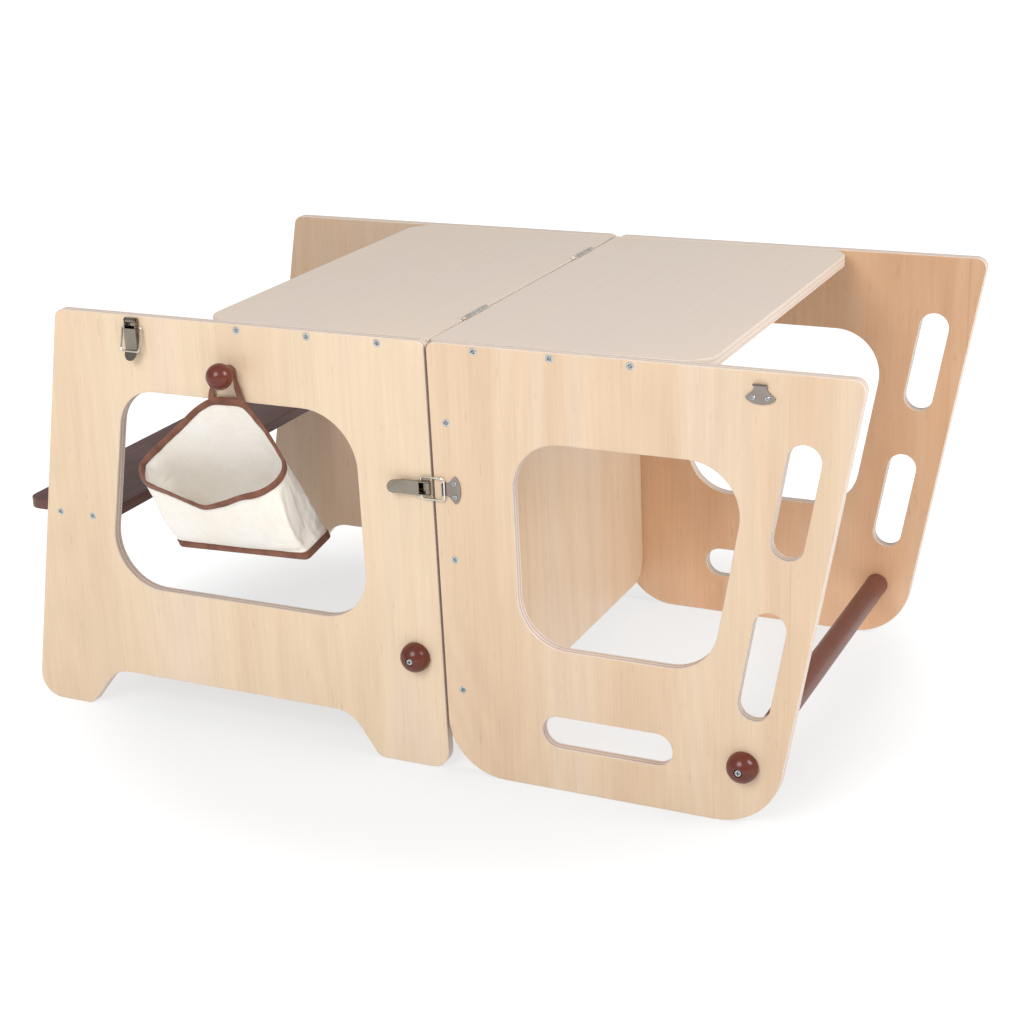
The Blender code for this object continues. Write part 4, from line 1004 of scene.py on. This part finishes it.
def straight_points(corners, count):
    """Evenly spaced points along straight runs, the last one left out."""
    lengths = [0.0]
    for first, second in zip(corners, corners[1:]):
        lengths.append(lengths[-1] + (second - first).length)
    found = []
    position = 1
    for index in range(count):
        wanted = lengths[-1] * index / count
        while lengths[position] <= wanted:
            position += 1
        share = (wanted - lengths[position - 1]) / (lengths[position] - lengths[position - 1])
        found.append(corners[position - 1].lerp(corners[position], share))
    return found


def even_points(controls, count, before_first=None, after_last=None):
    """Evenly spaced points on a smooth curve through the controls, the last one left out."""
    around = [before_first or controls[0], *controls, after_last or controls[-1]]
    fine = []
    for index in range(len(controls) - 1):
        before, start, end, after = (Vector(around[index + ahead]) for ahead in range(4))
        for step in range(FINE_STEPS):
            t = step / FINE_STEPS
            fine.append(0.5 * (
                2 * start + (end - before) * t + (2 * before - 5 * start + 4 * end - after) * t ** 2
                + (3 * start - before - 3 * end + after) * t ** 3
            ))
    fine.append(Vector(controls[-1]))
    return straight_points(fine, count)


base_turn = Matrix.Rotation(-BASE_ROLL, 4, "Y") @ Matrix.Rotation(BASE_TILT, 4, "X")
base_down = base_turn @ Vector((0, 0, -1))


def base_outline():
    """The base's edge, from the middle of its left side round the front and back."""
    half_x, half_y = BASE_LENGTH / 2, BASE_DEPTH / 2
    loop = []
    for side in (-1, 1):
        plan = rounded_path([
            (side * half_x, 0, 0), (side * half_x, side * half_y, BASE_CORNER),
            (-side * half_x, side * half_y, BASE_CORNER), (-side * half_x, 0, 0),
        ], BASE_BEND_STEPS)
        placed = [BASE_CENTRE + base_turn @ Vector((point.x, point.y, 0)) for point in plan]
        loop += straight_points(placed, ROUND_POINTS // 2)
    return loop


def bag_rings():
    """Rings of points from inside the base out to its edge and up the walls to the rim."""
    base = base_outline()
    rim = even_points(FRONT_RIM, ROUND_POINTS // 2, REAR_RIM[-2], REAR_RIM[1])
    rim += even_points(REAR_RIM, ROUND_POINTS // 2, FRONT_RIM[-2], FRONT_RIM[1])
    centre = sum(base, Vector()) / len(base)
    rings = [[centre.lerp(point, share) for point in base] for share in reversed(BASE_RINGS)]
    for row in range(WALL_ROWS + 1):
        share = row / WALL_ROWS
        ring = []
        for index, (low, high) in enumerate(zip(base, rim)):
            out = (base[(index + 2) % len(base)] - base[index - 2]).cross(base_down).normalized()
            if out.dot(low - centre) < 0:
                out = -out
            forward = max(0.0, -out.y)
            knee = low.lerp(high, 0.5).lerp(low - base_down * UPRIGHT_SHARE * (high - low).length, forward)
            most = WALL_SWELL * max(forward, out.x) + SIDE_SWELL * max(0.0, out.x)
            swell = most * math.sin(math.pi * share) ** 2
            ring.append(
                (1 - share) ** 2 * low + 2 * (1 - share) * share * knee + share ** 2 * high + out * swell
            )
        rings.append(ring)
    return rings, centre


def woven_mesh(name, rings, closed_path, centre=None, capped=False):
    """Faces between rings of points, with a UV map in metres: u round the ring, v from ring to ring."""
    work = bmesh.new()
    woven = work.loops.layers.uv.new("woven")
    rows = [[work.verts.new(point) for point in ring] for ring in rings]
    half_way = rings[len(rings) // 2]
    spacing = [0.0]
    for index, point in enumerate(half_way):
        spacing.append(spacing[-1] + (half_way[(index + 1) % len(half_way)] - point).length)
    rise = [0.0]
    for index in range(len(rings)):
        rise.append(rise[-1] + (rings[(index + 1) % len(rings)][0] - rings[index][0]).length)
    for row in range(len(rings) if closed_path else len(rings) - 1):
        for side, corners in enumerate(faces_between(rows[row], rows[(row + 1) % len(rings)])):
            face = work.faces.new(corners)
            places = ((side, row), (side + 1, row), (side + 1, row + 1), (side, row + 1))
            for corner, (across, up) in zip(face.loops, places):
                corner[woven].uv = (spacing[across], rise[up])
    if centre is not None:
        middle = work.verts.new(centre)
        for side in range(len(rows[0])):
            face = work.faces.new((middle, rows[0][(side + 1) % len(rows[0])], rows[0][side]))
            for corner in face.loops:
                corner[woven].uv = (corner.vert.co.x, corner.vert.co.y)
    if capped:
        work.faces.new(rows[0])
        work.faces.new(rows[-1])
    mesh = mesh_from(work, name)
    mesh.shade_smooth()
    return mesh


def woven_cloth(name, light, warm, yarn, cloud_scale, relief, creases=None):
    """Plain-woven cotton: yarns both ways from the UV map in metres, slubs, and a slightly uneven dye.

    creases is (depth, first X, last X): pressed-in folds that deepen from the one X to the other.
    """
    material, tree, shader = new_finish(name, COTTON)
    cloud = stretched_noise(tree, (0.4, 1.1, 0.7), (cloud_scale,) * 3, 4.0, 0.6)
    woven = shader_node(tree, "ShaderNodeUVMap", uv_map="woven").outputs["UV"]
    split = shader_node(tree, "ShaderNodeSeparateXYZ", {"Vector": woven})
    yarns = []
    for axis in ("X", "Y"):
        turns = value_of(tree, "MULTIPLY", split.outputs[axis], math.pi / yarn)
        yarns.append(value_of(tree, "ABSOLUTE", value_of(tree, "SINE", turns)))
    weave = value_of(tree, "MULTIPLY", *yarns)
    tones = [greys(tree, weave, [(0.0, 0.97), (0.5, 1.0)])]
    for scale in ((60.0, 900.0, 1.0), (900.0, 60.0, 1.0)):
        mapping = shader_node(tree, "ShaderNodeMapping", {"Vector": woven, "Scale": scale})
        slubs = shader_node(tree, "ShaderNodeTexNoise", {
            "Vector": mapping.outputs["Vector"], "Scale": 1.0, "Detail": 2.0, "Roughness": 0.6,
        })
        tones.append(greys(tree, slubs.outputs["Fac"], [(0.35, 0.975), (0.65, 1.01)]))
    colour = multiplied(tree, ramp(tree, cloud, [(0.34, warm), (0.62, light)]), *tones)
    tree.links.new(colour, shader.inputs["Base Color"])
    threads = raised(tree, shader, weave, 0.55, relief)
    if creases:
        depth, first, last = creases
        crumple = stretched_noise(tree, (2.3, 0.9, 1.4), (34.0, 34.0, 22.0), 2.0, 0.5)
        share = shader_node(tree, "ShaderNodeMapRange", {
            "Value": along_axis(tree, "X"), "From Min": first, "From Max": last, "To Min": 0.15, "To Max": 1.0,
        })
        folds = value_of(tree, "MULTIPLY", off_half(tree, crumple), share.outputs["Result"])
        pressed = shader_node(tree, "ShaderNodeBump", {"Height": folds, "Strength": 1.0, "Distance": depth})
        tree.links.new(pressed.outputs["Normal"], threads.inputs["Normal"])
    return material


def let_hang(piece, held_points):
    """Run the cloth with some points held still, then keep its shape with no point moved too far."""
    start = [vertex.co.copy() for vertex in piece.data.vertices]
    held = piece.vertex_groups.new(name="held")
    held.add(held_points, 1.0, "REPLACE")
    cloth = piece.modifiers.new("hanging", "CLOTH")
    for setting, value in CANVAS_BEHAVIOUR.items():
        setattr(cloth.settings, setting, value)
    cloth.settings.vertex_group_mass = "held"
    cloth.point_cache.frame_end = CLOTH_FRAMES
    for frame_number in range(1, CLOTH_FRAMES + 1):
        bpy.context.scene.frame_set(frame_number)
    settle(piece)
    bpy.context.scene.frame_set(1)
    for vertex, place in zip(piece.data.vertices, start):
        drift = vertex.co - place
        if drift.length > MOST_DRIFT:
            vertex.co = place + drift.normalized() * MOST_DRIFT
    piece.vertex_groups.clear()


bag_rows, bag_centre = bag_rings()
hang = Matrix.Translation(BAG_PLACE)
hung_centre = hang @ bag_centre
bag_material = woven_cloth(
    "cream_canvas", CANVAS_LIGHT, CANVAS_WARM, YARN, cloud_scale=26.0, relief=0.00018,
    creases=(CREASE_DEPTH, hung_centre.x, hung_centre.x + CREASED_WIDTH),
)
hung_rows = [[hang @ point for point in ring] for ring in bag_rows]
bag_mesh = woven_mesh("bag_canvas", hung_rows, False, hung_centre)
bag = in_scene("bag_canvas", bag_mesh)
bag_mesh.materials.append(bag_material)
first_free = ROUND_POINTS * (len(BASE_RINGS) + 1 + STIFF_ROWS)
free = {
    index for index in range(first_free, first_free + ROUND_POINTS * (WALL_ROWS - 2 * STIFF_ROWS))
    if (index + TAUT_FROM) % ROUND_POINTS < ROUND_POINTS // 2 + 2 * TAUT_FROM
}
held_still = [index for index in range(len(bag_mesh.vertices)) if index not in free]
let_hang(bag, held_still)
hung = [vertex.co.copy() for vertex in bag.data.vertices]
thicken = bag.modifiers.new("thickness", "SOLIDIFY")
thicken.thickness = CANVAS_THICKNESS
thicken.offset = 0.0
soften = bag.modifiers.new("soft_folds", "SUBSURF")
soften.levels = soften.render_levels = 1
settle(bag)
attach(bag, "bag")
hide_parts("bag_body")


# Bag trims: a brown cotton tape folded over the rim, a wider one round the base, and a loop of the
# same tape sewn on at the back, which goes round the peg's neck. All are sewn with brown thread.

TAPE_LIGHT = (0.225, 0.095, 0.060)
TAPE_DARK = (0.148, 0.057, 0.035)
TAPE_YARN = 0.0006
BINDING_DROP = 0.0056
BINDING_OUT = 0.0015
GATHER = 0.0013
GATHER_POINTS = 5
BAND_RISE = 0.0080
BAND_UNDER = 0.0030
BAND_OUT = 0.0012
BINDING_SEAM = 0.0013
BAND_SEAM = 0.0014
PATCH_SEAM = 0.0016
PROUD = 1.02
BAND_PROUD = 1.03
STITCH_PITCH = 0.0034
STITCH_LENGTH = 0.0024
STITCH_RADIUS = 0.00022
STITCH_SIDES = 6
STITCH_SEED = 5


def ring_frames(ring, next_ring):
    """At each point of a ring: along it, towards the next ring, and out of the cloth."""
    frames = []
    count = len(ring)
    middle = sum(ring, Vector()) / count
    for index in range(count):
        along = (ring[(index + 2) % count] - ring[index - 2]).normalized()
        nearby = [(index + near) % count for near in range(-3, 4)]
        down = sum((next_ring[other] - ring[other] for other in nearby), Vector())
        down = (down - along * down.dot(along)).normalized()
        out = along.cross(down).normalized()
        if out.dot(ring[index] - middle) < 0:
            out = -out
        frames.append((along, down, out))
    return frames


def sewn_tape(name, rings, material, closed_path):
    """A tape made of cross-sections along a path, with its ends closed, riding with the bag."""
    mesh = woven_mesh(name, rings, closed_path, capped=not closed_path)
    mesh.materials.append(material)
    piece = in_scene(name, mesh)
    rounder = piece.modifiers.new("rounded_edges", "SUBSURF")
    rounder.levels = rounder.render_levels = 1
    settle(piece)
    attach(piece, "bag")
    return piece


def both_faces(half):
    """A tape's closed cross-section from the half on one face: (across, out) points."""
    return [*half, *((across, -out) for across, out in reversed(half))]


def pucker(point, size, period):
    """A small uneven swelling, as where a tape is gathered round a curve."""
    return size * noise.noise(point / period)


rim_ring = hung[-1 - ROUND_POINTS:-1]
below_rim = hung[-1 - 4 * ROUND_POINTS:-1 - 3 * ROUND_POINTS]
base_start = ROUND_POINTS * len(BASE_RINGS)
base_ring = hung[base_start:base_start + ROUND_POINTS]
above_base = hung[base_start + 3 * ROUND_POINTS:base_start + 4 * ROUND_POINTS]
inside_base = hung[base_start - ROUND_POINTS:base_start]
tape_material = woven_cloth(
    "brown_cotton_tape", TAPE_LIGHT, TAPE_DARK, TAPE_YARN, cloud_scale=75.0, relief=0.00014,
)
thread_material = woven_cloth(
    "brown_thread", TAPE_DARK, TAPE_DARK, TAPE_YARN, cloud_scale=200.0, relief=0.00005,
)

rim_frames = ring_frames(rim_ring, below_rim)
binding_rings = []
binding_stitches = ([], [])
for index, (point, (along, down, out)) in enumerate(zip(rim_ring, rim_frames)):
    from_corner = min(index, ROUND_POINTS - index)
    gathered = GATHER * max(0.0, 1.0 - from_corner / GATHER_POINTS)
    drop = BINDING_DROP + pucker(point, 0.0009, 0.011)
    side = BINDING_OUT + gathered + pucker(point + BAG_PLACE, 0.0007, 0.006)
    section = both_faces((
        (drop, 0.8), (drop - 0.0006, 1.05), (drop * 0.5, 1.15), (-0.0004, 1.05), (-0.0014, 0.6),
    ))
    binding_rings.append([point + down * d + out * side * o for d, o in section])
    for line, face in zip(binding_stitches, (1, -1)):
        line.append(point + down * (drop - BINDING_SEAM) + out * face * side * PROUD)
binding = sewn_tape("bag_rim_binding", binding_rings, tape_material, True)

band_rings = []
band_stitches = []
for point, inner, (along, up, out) in zip(base_ring, inside_base, ring_frames(base_ring, above_base)):
    under = (inner - point).normalized()
    rise = BAND_RISE + pucker(point, 0.0006, 0.015)
    band_rings.append([
        point + up * rise + out * 0.0006, point + up * (rise - 0.0005) + out * BAND_OUT,
        point + up * rise * 0.5 + out * BAND_OUT * 1.08, point + up * 0.0010 + out * BAND_OUT,
        point + out * 0.0007 + base_down * 0.0008, point + under * 0.0010 + base_down * BAND_OUT,
        point + under * BAND_UNDER + base_down * 0.0011,
        point + under * (BAND_UNDER + 0.0003) + base_down * 0.0004,
        point + under * 0.0006, point + up * 0.0008, point + up * rise + out * 0.0001,
    ])
    band_stitches.append(point + up * (rise - BAND_SEAM) + out * BAND_OUT * BAND_PROUD)
band = sewn_tape("bag_base_band", band_rings, tape_material, True)

LOOP_NECK_HALF_WIDTH = 0.0030
LOOP_FOOT_HALF_WIDTH = 0.0032
LOOP_HALF_THICKNESS = 0.0006
LOOP_Y = -0.0040
LOOP_LINE = (
    (-0.0240, -0.0340), (-0.0222, -0.0240), (-0.0195, -0.0150), (-0.0148, -0.0050), (-0.0085, 0.0030),
    (-0.0035, 0.0062), (0.0005, 0.0069), (0.0045, 0.0052), (0.0066, 0.0018), (0.0072, -0.0030),
    (0.0080, -0.0100), (0.0098, -0.0190), (0.0122, -0.0290), (0.0142, -0.0360),
)
LOOP_SECTION = both_faces(((-1, -0.5), (-0.9, -1), (0, -1.1), (0.9, -1), (1, -0.5)))
LOOP_POINTS = 64
FLAT_BELOW = -0.0240
EDGE_ON_ABOVE = -0.0060
PATCH_RISE = 0.0030
PATCH_DROP = 0.0060
PATCH_OUT = 0.0021
PATCH_MARGIN = 0.003
PATCH_LOWEST = -0.045


def loop_rings():
    """Up from the left foot, over the neck and down to the right foot, turning flat towards the feet."""
    path = even_points([(x, LOOP_Y, z) for x, z in LOOP_LINE], LOOP_POINTS)
    rings = []
    for index, point in enumerate(path):
        before = path[max(index - 1, 0)]
        after = path[min(index + 1, len(path) - 1)]
        along = (after - before).normalized()
        share = min(max((EDGE_ON_ABOVE - point.z) / (EDGE_ON_ABOVE - FLAT_BELOW), 0.0), 1.0)
        share = share * share * (3 - 2 * share)
        flat = along.cross(Vector((0, 1, 0)))
        turn = math.pi / 2 * share
        width = Vector((0, 1, 0)) * math.cos(turn) + flat * math.sin(turn)
        thick = along.cross(width).normalized()
        wide = LOOP_NECK_HALF_WIDTH + (LOOP_FOOT_HALF_WIDTH - LOOP_NECK_HALF_WIDTH) * share
        place = BAG_PLACE + point
        rings.append([place + width * wide * w + thick * LOOP_HALF_THICKNESS * t for w, t in LOOP_SECTION])
    return rings


loop_tape = sewn_tape("bag_loop_tape", loop_rings(), tape_material, False)
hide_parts("bag_loop")

patch_rings = []
patch_stitches = []
for point, (along, down, out) in zip(rim_ring, rim_frames):
    place = point - BAG_PLACE
    between_feet = LOOP_LINE[0][0] - PATCH_MARGIN < place.x < LOOP_LINE[-1][0] + PATCH_MARGIN
    if not between_feet or place.z < PATCH_LOWEST:
        continue
    rise = PATCH_RISE + pucker(point, 0.0006, 0.005)
    side = PATCH_OUT + pucker(point, 0.0004, 0.004)
    section = both_faces((
        (PATCH_DROP, 0.7), (PATCH_DROP - 0.0008, 1.0), (0.0, 1.0), (-rise + 0.0006, 0.7), (-rise, 0.3),
    ))
    patch_rings.append([point + down * d + out * side * o for d, o in section])
    patch_stitches.append(point + down * (PATCH_DROP - PATCH_SEAM) + out * side * PROUD)
patch = sewn_tape("bag_loop_patch", patch_rings, tape_material, False)


def stitches_along(line, closed_line):
    """Points and directions of the stitches along a line."""
    corners = line + line[:1] if closed_line else line
    length = sum((second - first).length for first, second in zip(corners, corners[1:]))
    count = int(length / STITCH_PITCH)
    places = straight_points(corners, count)
    places.append(places[0] if closed_line else corners[-1])
    runs = zip(places, places[1:])
    return [(first.lerp(second, 0.5), (second - first).normalized()) for first, second in runs]


stitch = turned_piece("stitch", [
    (0, -STITCH_LENGTH / 2), (STITCH_RADIUS, -STITCH_LENGTH * 0.40), (STITCH_RADIUS, STITCH_LENGTH * 0.40),
    (0, STITCH_LENGTH / 2),
], STITCH_SIDES, Matrix.Identity(4), thread_material)
marks = stitches_along(band_stitches, True) + stitches_along(patch_stitches, False)
for line in binding_stitches:
    marks += stitches_along(line, True)
stitching = set_on_points("bag_stitching", "bag", stitch, marks, STITCH_SEED, thread_material)
bpy.data.objects.remove(stitch, do_unlink=True)
